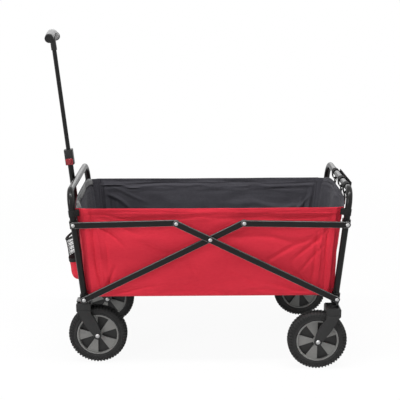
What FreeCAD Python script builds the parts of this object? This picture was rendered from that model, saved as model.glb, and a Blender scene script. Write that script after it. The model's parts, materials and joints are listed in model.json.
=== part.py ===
import FreeCAD, Part
import Sketcher
import math
import os
from types import SimpleNamespace

# A folding camp wagon: two bent-tube end frames joined by a pair of scissor
# linkages, swivelling front casters, fixed rear wheels, a fabric tub, a folding
# floor and a telescoping pull handle.
# Frame: +Z up, -X is the front with the pull handle, Y runs across the wagon,
# and the origin lies on the ground under the middle of the whole object.
# Lengths are in millimetres and angles in degrees.

drivingSizes = {
    # where the wagon's crossing point stands, seen from the origin
    "wagonMiddle": 26.9,
    # scissor linkage, side view
    "halfSpan": 394,
    "crossRise": 195,
    "barTail": 116,
    "barHeight": 20,
    "barThickness": 9,
    "barWall": 1.2,
    "barCorner": 2.5,
    "laneGap": 1,
    # end frames
    "splayAngle": 6.2,
    "upperPinRise": 241.5,
    "railRise": 342,
    "postDrop": 14,
    "postPlane": 234,
    "frameTube": 20,
    "frameWall": 1.2,
    "frameBend": 48,
    "sleeveWidth": 24,
    "upperSleeveHeight": 24,
    "lowerSleeveHeight": 30,
    "sleeveCorner": 3,
    "crossTube": 20,
    "crossTubeCorner": 2,
    "crossTubeDrop": 12,
    # rivets
    "rivetRadius": 4,
    "rivetHeadRadius": 5.8,
    "rivetHeadHeight": 2.2,
    "runningGap": 0.05,
    "seatGap": 0.3,
    # wheels
    "wheelRadius": 94,
    "tyreWidth": 40,
    "tyreSeat": 64,
    "tyreShoulder": 9,
    "tyreLedge": 3,
    "tyreSlope": 6,
    "rimLip": 2.5,
    "rimBarrel": 3,
    "rimEdge": 2,
    "rimBead": 5,
    "rimChamfer": 0.8,
    "webThickness": 12,
    "bladeThickness": 27,
    "bladeReach": 61.5,
    "bladeSweep": 18,
    "bladeRoot": 2,
    "hubStand": 1,
    "hubRadius": 14,
    "axleRadius": 4,
    "axleHeadRadius": 7,
    "axleHeadHeight": 4,
    # forks and casters
    "frontTrack": 179,
    "rearTrack": 246,
    "frontTrail": 42,
    "rearTrail": 47,
    "rearCrownSetback": 10,
    "frontSwivelOffset": 8,
    "tyreClearance": 3,
    "tyreGap": 2,
    "legThickness": 8,
    "crownLength": 46,
    "crownRoof": 14,
    "crownDepth": 33,
    "crownChamfer": 4,
    "crownStep": 6,
    "grooveDrop": 23,
    "grooveWidth": 3,
    "grooveDepth": 1,
    "recessDepth": 8,
    "recessRim": 5,
    "bossWall": 5,
    "legBack": 150,
    "legFront": 300,
    "legEnd": 12,
    "kingpinRadius": 6,
    "kingpinFoot": 3,
    "washerWall": 9,
    "nutWall": 3,
    "boreSpare": 5,
    "casterPlate": 3,
    "casterCorner": 8,
    "swivelGap": 1,
    "nutHeight": 4,
    "neckRadius": 6.5,
    "neckCap": 3,
    # floor
    "floorPivotInset": 19,
    "floorPivotRise": 10,
    "floorMiddleGap": 36,
    "floorBend": 30,
    "floorPinRadius": 3,
    "floorEye": 7,
    "lugThickness": 3,
    "floorFramePlane": 186,
    "floorTube": 10,
    "floorPanelThickness": 8,
    "floorPanelPlane": 218,
    # fabric tub
    "fabricThickness": 3,
    "tubRise": 2,
    "tubBelowBend": 4.3,
    "sidePanelPlane": 231,
    "postClearance": 6,
    "tubSplay": 3.8,
    "endPanelCrown": 14,
    # webbing on the rear rail
    "strapPlane": 58,
    "strapEnd": 165,
    "strapWidth": 18,
    "strapThickness": 1.7,
    "strapBow": 14,
    # cup pockets
    "cupPlane": 140,
    "cupHalfWidth": 46,
    "cupBottom": 40,
    "cupTop": 198,
    "cupDepth": 40,
    "cupTopDepth": 54,
    # pull handle
    "handlePivotDrop": 40,
    "handlePivotOut": 16.8,
    "handleFoot": 11,
    "cheekEnd": 10,
    "cheekEase": 2,
    "boltHead": 3,
    "boltEase": 1,
    "handleTube": 18,
    "handleWall": 1.2,
    "innerTube": 14,
    "collarBottom": 426,
    "collarTop": 476,
    "collarWidth": 28,
    "collarDepth": 32,
    "collarCorner": 6,
    "buttonRise": 12,
    "pressWall": 1.5,
    "bezelInset": 2,
    "bezelDrop": 1,
    "bezelThickness": 1.5,
    "bezelHeight": 21,
    "bezelCorner": 4,
    "handleReach": 815,
    "tubeOverlap": 70,
    "gripHalf": 66,
    "gripNeck": 38,
    "gripNeckSink": 15,
    "gripNeckWall": 2,
    "gripCore": 8,
    "gripCap": 8,
    "gripCapRise": 1,
    "gripNeckHalf": 12,
    "gripBow": 11,
    "gripDiameter": 26,
    "yokePlate": 3,
    "buttonRadius": 8,
    "buttonStand": 3,
    "buttonTravel": 2.5,
    "edgeRound": 1.5,
}

doc = FreeCAD.newDocument("FoldingCampWagon")
sheet = doc.addObject("Spreadsheet::Sheet", "Sizes")
for row, (name, value) in enumerate(drivingSizes.items(), start=1):
    sheet.set("A%d" % row, name)
    sheet.set("B%d" % row, str(value))
    sheet.setAlias("B%d" % row, name)
doc.recompute()


class Size:
    """A number worked out from the sheet, with the expression that binds it."""

    def __init__(self, value, text):
        self.value = float(value)
        self.text = text

    def __add__(self, other):
        other = asSize(other)
        return Size(self.value + other.value, "(%s + %s)" % (self.text, other.text))

    def __sub__(self, other):
        other = asSize(other)
        return Size(self.value - other.value, "(%s - %s)" % (self.text, other.text))

    def __mul__(self, other):
        other = asSize(other)
        return Size(self.value * other.value, "(%s * %s)" % (self.text, other.text))

    def __truediv__(self, other):
        other = asSize(other)
        return Size(self.value / other.value, "(%s / %s)" % (self.text, other.text))

    def __neg__(self):
        return Size(-self.value, "(0 - %s)" % self.text)

    def __radd__(self, other):
        return asSize(other) + self

    def __rsub__(self, other):
        return asSize(other) - self

    def __rmul__(self, other):
        return asSize(other) * self


def asSize(number):
    return number if isinstance(number, Size) else Size(number, repr(number))


def cosine(angle):
    return Size(math.cos(math.radians(angle.value)), "cos(%s)" % angle.text)


def sine(angle):
    return Size(math.sin(math.radians(angle.value)), "sin(%s)" % angle.text)


def root(size):
    return Size(math.sqrt(size.value), "sqrt(%s)" % size.text)


s = SimpleNamespace(
    **{name: Size(sheet.get(name), "Sizes." + name) for name in drivingSizes}
)

parts = []


# ---------------------------------------------------------------- helpers


def newBody(label):
    body = doc.addObject("PartDesign::Body", "body_" + label)
    body.Label = label
    parts.append(body)
    return body


def originFeature(body, role):
    for feature in body.Origin.OriginFeatures:
        if feature.Role == role:
            return feature
    raise ValueError(role)


def newSketch(body, role, offset=None):
    sketch = body.newObject("Sketcher::SketchObject", "sketch")
    sketch.AttachmentSupport = [(originFeature(body, role), "")]
    sketch.MapMode = "FlatFace"
    if offset is not None:
        sketch.setExpression("AttachmentOffset.Base.z", asSize(offset).text)
    return sketch


def bindPoint(sketch, geometry, position, x, y):
    """Holds one point of a sketch at sizes measured from the sketch's origin."""
    for direction, size, axis in (("DistanceX", x, -2), ("DistanceY", y, -1)):
        size = asSize(size)
        if abs(size.value) < 1e-9:
            sketch.addConstraint(
                Sketcher.Constraint("PointOnObject", geometry, position, axis)
            )
            continue
        index = sketch.addConstraint(
            Sketcher.Constraint(direction, -1, 1, geometry, position, size.value)
        )
        sketch.setExpression("Constraints[%d]" % index, size.text)


def addCircle(sketch, x, y, radius):
    radius = asSize(radius)
    centre = FreeCAD.Vector(asSize(x).value, asSize(y).value, 0)
    geometry = sketch.addGeometry(
        Part.Circle(centre, FreeCAD.Vector(0, 0, 1), radius.value), False
    )
    index = sketch.addConstraint(
        Sketcher.Constraint("Radius", geometry, radius.value)
    )
    sketch.setExpression("Constraints[%d]" % index, radius.text)
    bindPoint(sketch, geometry, 3, x, y)


def arcBetween(start, end, radius, side):
    """The short arc from start to end, its centre to the left if side is +1."""
    chord = end - start
    half = chord.Length / 2
    normal = FreeCAD.Vector(-chord.y, chord.x, 0) / chord.Length
    rise = math.sqrt(max(radius * radius - half * half, 0))
    centre = (start + end) / 2 + normal * (rise * side)
    first, last = (start, end) if side > 0 else (end, start)
    angles = [
        math.atan2(point.y - centre.y, point.x - centre.x) for point in (first, last)
    ]
    circle = Part.Circle(centre, FreeCAD.Vector(0, 0, 1), radius)
    return Part.ArcOfCircle(circle, angles[0], angles[1])


def addOutline(sketch, corners, arcs=None, closed=True):
    """Joins corners by lines. arcs maps a corner's index to the radius and the
    side of the arc that leads from it to the next corner; a half circle has no
    radius of its own to bind."""
    arcs = arcs or {}
    spots = [FreeCAD.Vector(asSize(x).value, asSize(y).value, 0) for x, y in corners]
    count = len(corners) if closed else len(corners) - 1
    segments = []
    for index in range(count):
        start = spots[index]
        end = spots[(index + 1) % len(spots)]
        if index in arcs:
            radius, side = arcs[index]
            half = (end - start).Length / 2
            free = radius is None
            bend = half if free else asSize(radius).value
            geometry = sketch.addGeometry(arcBetween(start, end, bend, side), False)
            if not free:
                constraint = sketch.addConstraint(
                    Sketcher.Constraint("Radius", geometry, bend)
                )
                sketch.setExpression(
                    "Constraints[%d]" % constraint, asSize(radius).text
                )
            ends = (1, 2) if side > 0 else (2, 1)
        else:
            geometry = sketch.addGeometry(Part.LineSegment(start, end), False)
            ends = (1, 2)
        segments.append((geometry, ends))
    for index, (geometry, ends) in enumerate(segments):
        bindPoint(sketch, geometry, ends[0], *corners[index])
        if index + 1 < len(segments) or closed:
            follower, followerEnds = segments[(index + 1) % len(segments)]
            sketch.addConstraint(
                Sketcher.Constraint(
                    "Coincident", geometry, ends[1], follower, followerEnds[0]
                )
            )
        else:
            bindPoint(sketch, geometry, ends[1], *corners[-1])


def addRoundedBox(sketch, width, height, corner):
    """A rectangle about the sketch's origin with rounded corners."""
    x = asSize(width) / 2
    y = asSize(height) / 2
    r = asSize(corner)
    addOutline(
        sketch,
        [
            (r - x, -y), (x - r, -y), (x, r - y), (x, y - r),
            (x - r, y), (r - x, y), (-x, y - r), (-x, r - y),
        ],
        {1: (r, 1), 3: (r, 1), 5: (r, 1), 7: (r, 1)},
    )


def addBox(sketch, left, bottom, right, top):
    addOutline(sketch, [(left, bottom), (right, bottom), (right, top), (left, top)])


def extrude(body, kind, sketch, length, symmetric=True, flip=False):
    feature = body.newObject("PartDesign::" + kind, kind.lower())
    feature.Profile = sketch
    feature.setExpression("Length", asSize(length).text)
    feature.SideType = "Symmetric" if symmetric else "One side"
    feature.Reversed = flip
    return feature


def turn(body, kind, sketch, axis):
    """A full Revolution or Groove of a sketch about one of the body's axes."""
    feature = body.newObject("PartDesign::" + kind, kind.lower())
    feature.Profile = sketch
    feature.ReferenceAxis = (originFeature(body, axis), [""])
    feature.Angle = 360
    return feature


def mirror(body, features, role="XZ_Plane"):
    """Repeats features on the other side of one of the body's planes."""
    feature = body.newObject("PartDesign::Mirrored", "mirrored")
    feature.Originals = features
    feature.MirrorPlane = (originFeature(body, role), [""])
    body.Tip = feature
    return feature


def dressEdges(body, kind, radius, wanted):
    """A Fillet or Chamfer on the edges of the tip that the test picks."""
    doc.recompute()
    base = body.Tip
    names = [
        "Edge%d" % number
        for number, edge in enumerate(base.Shape.Edges, start=1)
        if wanted(edge)
    ]
    feature = body.newObject("PartDesign::" + kind, kind.lower())
    feature.Base = (base, names)
    sizeName = "Radius" if kind == "Fillet" else "Size"
    feature.setExpression(sizeName, asSize(radius).text)
    return feature


def place(body, x=0, y=0, z=0, axis=(0, 1, 0), angle=0):
    """Puts a piece at wagon coordinates, x counted from the crossing point."""
    numbers = [asSize(number).value for number in (x, y, z)]
    body.Placement = FreeCAD.Placement(
        FreeCAD.Vector(numbers[0] + s.wagonMiddle.value, numbers[1], numbers[2]),
        FreeCAD.Rotation(FreeCAD.Vector(*axis), asSize(angle).value),
    )


def placeOnEnd(body, end, x=0, y=0, z=0, lean=0):
    """Puts a piece on the rear end (end = 1) or the front end (end = -1). Its
    place is measured from the lower pivot axis, with X towards the outside on
    both ends, and the piece leans outwards by the given angle."""
    facing = FreeCAD.Rotation(FreeCAD.Vector(0, 0, 1), 0 if end > 0 else 180)
    tilt = FreeCAD.Rotation(FreeCAD.Vector(0, 1, 0), asSize(lean).value)
    offset = [asSize(number).value for number in (x, y, z)]
    spot = FreeCAD.Vector(
        s.wagonMiddle.value + end * (s.halfSpan.value + offset[0]),
        end * offset[1],
        pivotHeight.value + offset[2],
    )
    body.Placement = FreeCAD.Placement(spot, facing * tilt)


# ---------------------------------------------------------------- lanes

# Across each side, from the inside out: post, sleeve, inner lane, outer lane.
sleeveFace = s.postPlane + s.sleeveWidth / 2
innerLane = sleeveFace + s.laneGap + s.barThickness / 2
outerLane = innerLane + s.barThickness + s.laneGap
barReach = root(s.halfSpan * s.halfSpan + s.crossRise * s.crossRise)
restAngle = math.degrees(math.atan2(s.crossRise.value, s.halfSpan.value))
rivetHole = s.rivetRadius + s.runningGap
frameRadius = s.frameTube / 2

# Heights, built up from the ground: tyre, fork crown, caster plate, cross tube.
crossTubeHalf = s.crossTube / 2
wellTop = s.wheelRadius * 2 + s.tyreGap
crownTop = wellTop + s.crownRoof
crownBottom = crownTop - s.crownDepth
mountTop = crownTop + s.swivelGap + s.casterPlate
pivotHeight = mountTop + crossTubeHalf + s.crossTubeDrop
tubBottom = pivotHeight + s.tubRise
tubTop = pivotHeight + (s.railRise - s.frameBend - s.tubBelowBend) * cosine(s.splayAngle)
crossHeight = pivotHeight + s.crossRise
gripRise = s.handleReach + s.gripNeck


# ---------------------------------------------------------------- end frames


def makeBentTube(label, halfWidth, bottom, top, bend, diameter, wall, drills):
    """A tube bent into an upside-down U in the YZ plane, open at both feet, with
    cross holes through both legs at the given heights."""
    body = newBody(label)
    path = newSketch(body, "YZ_Plane")
    addOutline(
        path,
        [
            (-halfWidth, bottom), (-halfWidth, top - bend),
            (bend - halfWidth, top), (halfWidth - bend, top),
            (halfWidth, top - bend), (halfWidth, bottom),
        ],
        {1: (bend, -1), 3: (bend, -1)},
        closed=False,
    )
    ring = newSketch(body, "XY_Plane", bottom)
    addCircle(ring, 0, -halfWidth, diameter / 2)
    if wall is not None:
        addCircle(ring, 0, -halfWidth, diameter / 2 - wall)
    doc.recompute()
    pipe = body.newObject("PartDesign::AdditivePipe", "pipe")
    pipe.Profile = ring
    pipe.Spine = (path, ["Edge%d" % number for number in range(1, 6)])
    pipe.Mode = "Frenet"
    for height, radius in drills:
        hole = newSketch(body, "XZ_Plane")
        addCircle(hole, 0, height, radius)
        extrude(body, "Pocket", hole, halfWidth * 2 + diameter * 2)
    return body


def makeEndFrame(label, end):
    drills = [(0, s.rivetRadius), (s.upperPinRise, s.rivetRadius)]
    body = makeBentTube(
        label, s.postPlane, -s.postDrop, s.railRise, s.frameBend,
        s.frameTube, s.frameWall, drills,
    )
    placeOnEnd(body, end, lean=s.splayAngle)


def makeSleeves(label, end):
    """Stamped square sleeves round both posts, drilled for the rivets."""
    body = newBody(label)
    steps = []
    for rise, height in (
        (asSize(0), s.lowerSleeveHeight),
        (s.upperPinRise, s.upperSleeveHeight),
    ):
        square = newSketch(body, "XY_Plane", rise)
        addRoundedBox(square, s.sleeveWidth, s.sleeveWidth, s.sleeveCorner)
        square.setExpression("AttachmentOffset.Base.y", (-s.postPlane).text)
        steps.append(extrude(body, "Pad", square, height))
        bore = newSketch(body, "XY_Plane", rise)
        addCircle(bore, 0, -s.postPlane, frameRadius)
        steps.append(extrude(body, "Pocket", bore, height * 2))
        hole = newSketch(body, "XZ_Plane")
        addCircle(hole, 0, rise, s.rivetRadius)
        steps.append(extrude(body, "Pocket", hole, sleeveFace * 2))
    mirror(body, steps)
    placeOnEnd(body, end, lean=s.splayAngle)


makeEndFrame("rear_end_frame", 1)
makeEndFrame("front_end_frame", -1)
makeSleeves("rear_post_sleeves", 1)
makeSleeves("front_post_sleeves", -1)


# The middle of a cross tube, in the upright frame of its end: on the posts' axis.
crossTubeInset = s.crossTubeDrop * sine(s.splayAngle) / cosine(s.splayAngle)


def makeCrossTube(label, end):
    """A square tube welded between the lower sleeves of an end."""
    body = newBody(label)
    length = s.postPlane * 2 - s.sleeveWidth
    section = newSketch(body, "XZ_Plane")
    addRoundedBox(section, s.crossTube, s.crossTube, s.crossTubeCorner)
    extrude(body, "Pad", section, length)
    hollow = newSketch(body, "XZ_Plane")
    inner = s.crossTube - s.frameWall * 2
    addBox(hollow, -inner / 2, -inner / 2, inner / 2, inner / 2)
    extrude(body, "Pocket", hollow, length)
    placeOnEnd(body, end, -crossTubeInset, 0, -s.crossTubeDrop)


makeCrossTube("rear_cross_tube", 1)
makeCrossTube("front_cross_tube", -1)


# ---------------------------------------------------------------- linkage

barEnd = s.barHeight / 2
cosRest = s.halfSpan / barReach
sinRest = s.crossRise / barReach
hingeX = s.barTail * cosRest
hingeZ = crossHeight + s.barTail * sinRest
upperPinX = s.halfSpan + s.upperPinRise * sine(s.splayAngle)
upperPinZ = pivotHeight + s.upperPinRise * cosine(s.splayAngle)
linkX = upperPinX - hingeX
linkZ = upperPinZ - hingeZ
linkLength = root(linkX * linkX + linkZ * linkZ)
linkAngle = math.degrees(math.atan2(linkZ.value, linkX.value))


def makeBar(label, start, end, holes):
    """A rectangular tube along X with both ends rounded off about the pivots at
    start and end, and a cross hole at each (place, radius)."""
    body = newBody(label)
    section = newSketch(body, "YZ_Plane", start - barEnd)
    addRoundedBox(section, s.barThickness, s.barHeight, s.barCorner)
    length = end - start + s.barHeight
    extrude(body, "Pad", section, length, symmetric=False)
    hollow = newSketch(body, "YZ_Plane", start - barEnd)
    wall = s.barWall * 2
    addBox(
        hollow,
        -(s.barThickness - wall) / 2, -(s.barHeight - wall) / 2,
        (s.barThickness - wall) / 2, (s.barHeight - wall) / 2,
    )
    extrude(body, "Pocket", hollow, length, symmetric=False, flip=True)
    beyond = s.barHeight
    for spot, way in ((start, -1), (end, 1)):
        trim = newSketch(body, "XZ_Plane")
        outer = spot + beyond * way
        addOutline(
            trim,
            [
                (spot, -barEnd), (spot, barEnd), (spot, beyond),
                (outer, beyond), (outer, -beyond), (spot, -beyond),
            ],
            {0: (None, -way)},
        )
        extrude(body, "Pocket", trim, s.barThickness * 2)
    for spot, radius in holes:
        hole = newSketch(body, "XZ_Plane")
        addCircle(hole, spot, 0, radius)
        extrude(body, "Pocket", hole, s.barThickness * 2)
    return body


def makeRivets(label, heights, inner, shoulder, laneStart, laneEnd):
    """Rivets along Y on both sides of the wagon: their shanks start at inner, and
    a shoulder keeps the bar in its lane, under a domed head."""
    body = newBody(label)
    collar = s.rivetRadius * 2
    under = laneEnd + s.seatGap
    crown = under + s.rivetHeadHeight
    domeRadius = (
        s.rivetHeadRadius * s.rivetHeadRadius + s.rivetHeadHeight * s.rivetHeadHeight
    ) / (s.rivetHeadHeight * 2)
    corners = [(0, inner), (s.rivetRadius, inner)]
    if shoulder is not None:
        corners += [
            (s.rivetRadius, shoulder), (collar, shoulder),
            (collar, laneStart - s.seatGap), (s.rivetRadius, laneStart - s.seatGap),
        ]
    corners += [(s.rivetRadius, under), (s.rivetHeadRadius, under), (0, crown)]
    steps = []
    for height in heights:
        half = newSketch(body, "XY_Plane", height)
        addOutline(half, corners, {len(corners) - 2: (domeRadius, 1)})
        turned = body.newObject("PartDesign::Revolution", "revolution")
        turned.Profile = half
        turned.ReferenceAxis = (half, ["V_Axis"])
        turned.Angle = 360
        steps.append(turned)
    mirror(body, steps)
    return body


innerStart = innerLane - s.barThickness / 2
innerEnd = innerLane + s.barThickness / 2
outerStart = outerLane - s.barThickness / 2
outerEnd = outerLane + s.barThickness / 2
postInside = s.postPlane - frameRadius

for side, name in ((-1, "near"), (1, "far")):
    rearBar = makeBar(
        "rear_bar_" + name, -barReach, s.barTail,
        [(-barReach, rivetHole), (0, s.rivetRadius), (s.barTail, s.rivetRadius)],
    )
    place(rearBar, 0, outerLane * side, crossHeight, angle=restAngle - 180)
    frontBar = makeBar(
        "front_bar_" + name, -barReach, s.barTail,
        [(-barReach, rivetHole), (0, rivetHole), (s.barTail, rivetHole)],
    )
    place(frontBar, 0, innerLane * side, crossHeight, angle=-restAngle)
    rearLink = makeBar(
        "rear_link_" + name, -linkLength, asSize(0),
        [(-linkLength, s.rivetRadius), (0, rivetHole)],
    )
    place(rearLink, upperPinX, outerLane * side, upperPinZ, angle=-linkAngle)
    frontLink = makeBar(
        "front_link_" + name, asSize(0), linkLength,
        [(0, rivetHole), (linkLength, rivetHole)],
    )
    place(frontLink, -upperPinX, innerLane * side, upperPinZ, angle=linkAngle)

for end, name, laneStart, laneEnd in (
    (1, "rear", outerStart, outerEnd),
    (-1, "front", innerStart, innerEnd),
):
    rivets = makeRivets(
        name + "_post_rivets", [asSize(0), s.upperPinRise],
        postInside, sleeveFace, laneStart, laneEnd,
    )
    placeOnEnd(rivets, end, lean=s.splayAngle)

centreRivets = makeRivets(
    "centre_rivets", [0], innerStart - s.seatGap, None, outerStart, outerEnd
)
place(centreRivets, 0, 0, crossHeight)
frontHinge = makeRivets("front_hinge_rivets", [0], outerStart, None, outerStart, outerEnd)
place(frontHinge, -hingeX, 0, hingeZ)
rearHinge = makeRivets("rear_hinge_rivets", [0], outerStart, None, outerStart, outerEnd)
place(rearHinge, hingeX, 0, hingeZ)


# ---------------------------------------------------------------- floor

floorRod = s.floorTube / 2
lugHalf = s.floorPivotInset - crossTubeInset - crossTubeHalf
floorFrameReach = s.halfSpan - s.floorPivotInset - s.floorMiddleGap - floorRod
floorPanelStart = lugHalf + s.seatGap * 8


def makeFloorLugs(label, end):
    """Lugs welded to the inside of a cross tube, each with its hinge pin."""
    body = newBody(label)
    plane = s.floorFramePlane + s.floorEye + s.seatGap + s.lugThickness / 2
    plate = newSketch(body, "XZ_Plane", plane)
    foot = -(s.floorPivotRise + s.crossTubeDrop) - crossTubeHalf + s.frameWall * 2
    addOutline(
        plate,
        [
            (-lugHalf, floorRod - s.floorEye), (lugHalf, foot),
            (lugHalf, 0), (-lugHalf, 0),
        ],
        {2: (None, 1)},
    )
    lug = extrude(body, "Pad", plate, s.lugThickness)
    pinLength = (s.floorEye + s.seatGap) * 2 + s.lugThickness
    shank = newSketch(body, "XZ_Plane", s.floorFramePlane)
    addCircle(shank, 0, 0, s.floorPinRadius)
    pin = extrude(body, "Pad", shank, pinLength)
    mirror(body, [lug, pin])
    placeOnEnd(body, end, -s.floorPivotInset, 0, s.floorPivotRise)


def makeFloorFrame(label, end):
    """A steel rod bent into a U that lies flat, with an eye on each foot."""
    body = makeBentTube(
        label, s.floorFramePlane, s.floorEye - 1, floorFrameReach, s.floorBend,
        s.floorTube, None, [],
    )
    loop = newSketch(body, "XZ_Plane", s.floorFramePlane)
    addCircle(loop, 0, 0, s.floorEye)
    eye = extrude(body, "Pad", loop, s.floorEye * 2)
    mirror(body, [eye])
    bore = newSketch(body, "XZ_Plane")
    addCircle(bore, 0, 0, s.floorPinRadius + s.runningGap)
    extrude(body, "Pocket", bore, s.postPlane * 2)
    placeOnEnd(body, end, -s.floorPivotInset, 0, s.floorPivotRise, lean=-90)


def makeFloorPanel(label, end):
    """The stiff padded half of the tub's floor that lies on a floor frame."""
    body = newBody(label)
    board = newSketch(body, "YZ_Plane", floorRod)
    reach = floorFrameReach + floorRod
    addBox(board, -s.floorPanelPlane, floorPanelStart, s.floorPanelPlane, reach)
    extrude(body, "Pad", board, s.floorPanelThickness, symmetric=False)
    placeOnEnd(body, end, -s.floorPivotInset, 0, s.floorPivotRise, lean=-90)


for end, name in ((1, "rear"), (-1, "front")):
    makeFloorLugs(name + "_floor_lugs", end)
    makeFloorFrame(name + "_floor_frame", end)
    makeFloorPanel(name + "_floor_panel", end)

# ---------------------------------------------------------------- fabric tub

tubReach = tubTop - pivotHeight


def makeEndPanel(label, end):
    """The fabric end of the tub: its top edge is crowned between the posts."""
    body = newBody(label)
    half = s.postPlane - s.sleeveWidth / 2 - s.seatGap
    top = tubReach / cosine(s.tubSplay)
    bottom = s.tubRise / cosine(s.tubSplay)
    crown = s.endPanelCrown
    crownRadius = (half * half + crown * crown) / (crown * 2)
    outline = newSketch(body, "YZ_Plane")
    addOutline(
        outline,
        [(-half, bottom), (half, bottom), (half, top), (-half, top)],
        {2: (crownRadius, 1)},
    )
    extrude(body, "Pad", outline, s.fabricThickness)
    placeOnEnd(body, end, lean=s.tubSplay)


def makeSidePanel(label, side):
    """The fabric side of the tub, more upright than the posts it hangs between."""
    body = newBody(label)
    gap = (frameRadius + s.postClearance) / cosine(s.splayAngle)
    slope = sine(s.tubSplay) / cosine(s.tubSplay)
    low = s.halfSpan + s.tubRise * slope - gap
    high = s.halfSpan + tubReach * slope - gap
    outline = newSketch(body, "XZ_Plane")
    addOutline(
        outline,
        [(-low, tubBottom), (low, tubBottom), (high, tubTop), (-high, tubTop)],
    )
    extrude(body, "Pad", outline, s.fabricThickness)
    place(body, 0, s.sidePanelPlane * side, 0)


def addPocketSection(body, height, halfWidth, depth, back):
    """A D-shaped section of a cup pocket, flat against the end panel."""
    sketch = newSketch(body, "XY_Plane", height)
    square = depth / 4
    bow = depth - square
    radius = (halfWidth * halfWidth + bow * bow) / (bow * 2)
    addOutline(
        sketch,
        [
            (back, -halfWidth), (back + square, -halfWidth),
            (back + square, halfWidth), (back, halfWidth),
        ],
        {1: (radius, 1)},
    )
    return sketch


def makeCupPocket(label, side):
    """A tapering fabric cup on the front panel, open at the top."""
    body = newBody(label)
    back = s.fabricThickness / 2 + s.seatGap
    wall = s.fabricThickness
    taper = s.cupTopDepth - s.cupDepth
    low = addPocketSection(body, s.cupBottom, s.cupHalfWidth - taper / 2, s.cupDepth, back)
    high = addPocketSection(body, s.cupTop, s.cupHalfWidth, s.cupTopDepth, back)
    shell = body.newObject("PartDesign::AdditiveLoft", "loft")
    shell.Profile = low
    shell.Sections = [high]
    doc.recompute()
    narrow = s.cupHalfWidth - wall
    floor = addPocketSection(
        body, s.cupBottom + wall, narrow - taper / 2, s.cupDepth - wall * 2, back + wall
    )
    mouth = addPocketSection(
        body, s.cupTop + wall, narrow, s.cupTopDepth - wall * 2, back + wall
    )
    hollow = body.newObject("PartDesign::SubtractiveLoft", "loft")
    hollow.Profile = floor
    hollow.Sections = [mouth]
    placeOnEnd(body, -1, y=s.cupPlane * side, lean=s.tubSplay)


makeEndPanel("tub_rear_panel", 1)
makeEndPanel("tub_front_panel", -1)
makeSidePanel("tub_near_panel", -1)
makeSidePanel("tub_far_panel", 1)
makeCupPocket("cup_pocket_near", 1)
makeCupPocket("cup_pocket_far", -1)

# Webbing on the rear rail: loops that hang the panel from it, and between them
# slack lengths that bow outwards as grab straps.
loopInside = frameRadius + s.seatGap
loopOutside = loopInside + s.strapThickness


def addStrapLoop(body, plane):
    """A loop round the rail, in the middle of the sketch's plane."""
    loop = newSketch(body, "XZ_Plane", plane)
    addCircle(loop, 0, s.railRise, loopOutside)
    addCircle(loop, 0, s.railRise, loopInside)
    return extrude(body, "Pad", loop, s.strapWidth)


def addStrapBow(body, start, end):
    """A slack length of webbing outside the rail, between two loops."""
    half = (end - start) / 2
    radius = (half * half + s.strapBow * s.strapBow) / (s.strapBow * 2)
    inside = loopInside + s.strapThickness / 3
    outside = inside + s.strapThickness
    bow = newSketch(body, "XY_Plane", s.railRise)
    addOutline(
        bow,
        [(outside, start), (outside, end), (inside, end), (inside, start)],
        {0: (radius, 1), 2: (radius, -1)},
    )
    extrude(body, "Pad", bow, s.strapWidth)


straps = newBody("rear_rail_straps")
ring = addStrapLoop(straps, s.strapPlane)
hanger = newSketch(straps, "XZ_Plane", s.strapPlane)
panelTop = tubReach / cosine(s.tubSplay) + s.endPanelCrown + s.seatGap
footX = -panelTop * sine(s.splayAngle - s.tubSplay)
footZ = panelTop * cosine(s.splayAngle - s.tubSplay)
tailHalf = s.strapThickness / 2
tailTop = s.railRise - loopInside - tailHalf
addOutline(
    hanger,
    [(footX - tailHalf, footZ), (footX + tailHalf, footZ), (tailHalf, tailTop), (-tailHalf, tailTop)],
)
tail = extrude(straps, "Pad", hanger, s.strapWidth)
mirror(straps, [ring, tail])
addStrapLoop(straps, s.strapEnd)
addStrapBow(straps, -s.strapPlane, s.strapPlane)
addStrapBow(straps, -s.strapEnd, -s.strapPlane)
placeOnEnd(straps, 1, lean=s.splayAngle)

# ---------------------------------------------------------------- wheels

tyreHalf = s.tyreWidth / 2
wellHalf = tyreHalf + s.tyreClearance
forkHalf = wellHalf + s.legThickness


def makeTyre(label):
    """A solid tyre with rounded shoulders, seated between the rim's lips."""
    body = newBody(label)
    bead = tyreHalf - s.rimBead
    lip = s.tyreSeat + s.rimLip
    ledge = tyreHalf - s.tyreLedge
    slopeEnd = lip + s.tyreSlope
    shoulder = s.tyreShoulder
    section = newSketch(body, "XY_Plane")
    addOutline(
        section,
        [
            (s.tyreSeat, -bead), (lip, -bead), (lip, -ledge), (slopeEnd, -tyreHalf),
            (s.wheelRadius - shoulder, -tyreHalf), (s.wheelRadius, shoulder - tyreHalf),
            (s.wheelRadius, tyreHalf - shoulder), (s.wheelRadius - shoulder, tyreHalf),
            (slopeEnd, tyreHalf), (lip, ledge), (lip, bead), (s.tyreSeat, bead),
        ],
        {4: (shoulder, 1), 6: (shoulder, 1)},
    )
    turn(body, "Revolution", section, "Y_Axis")
    return body


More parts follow.
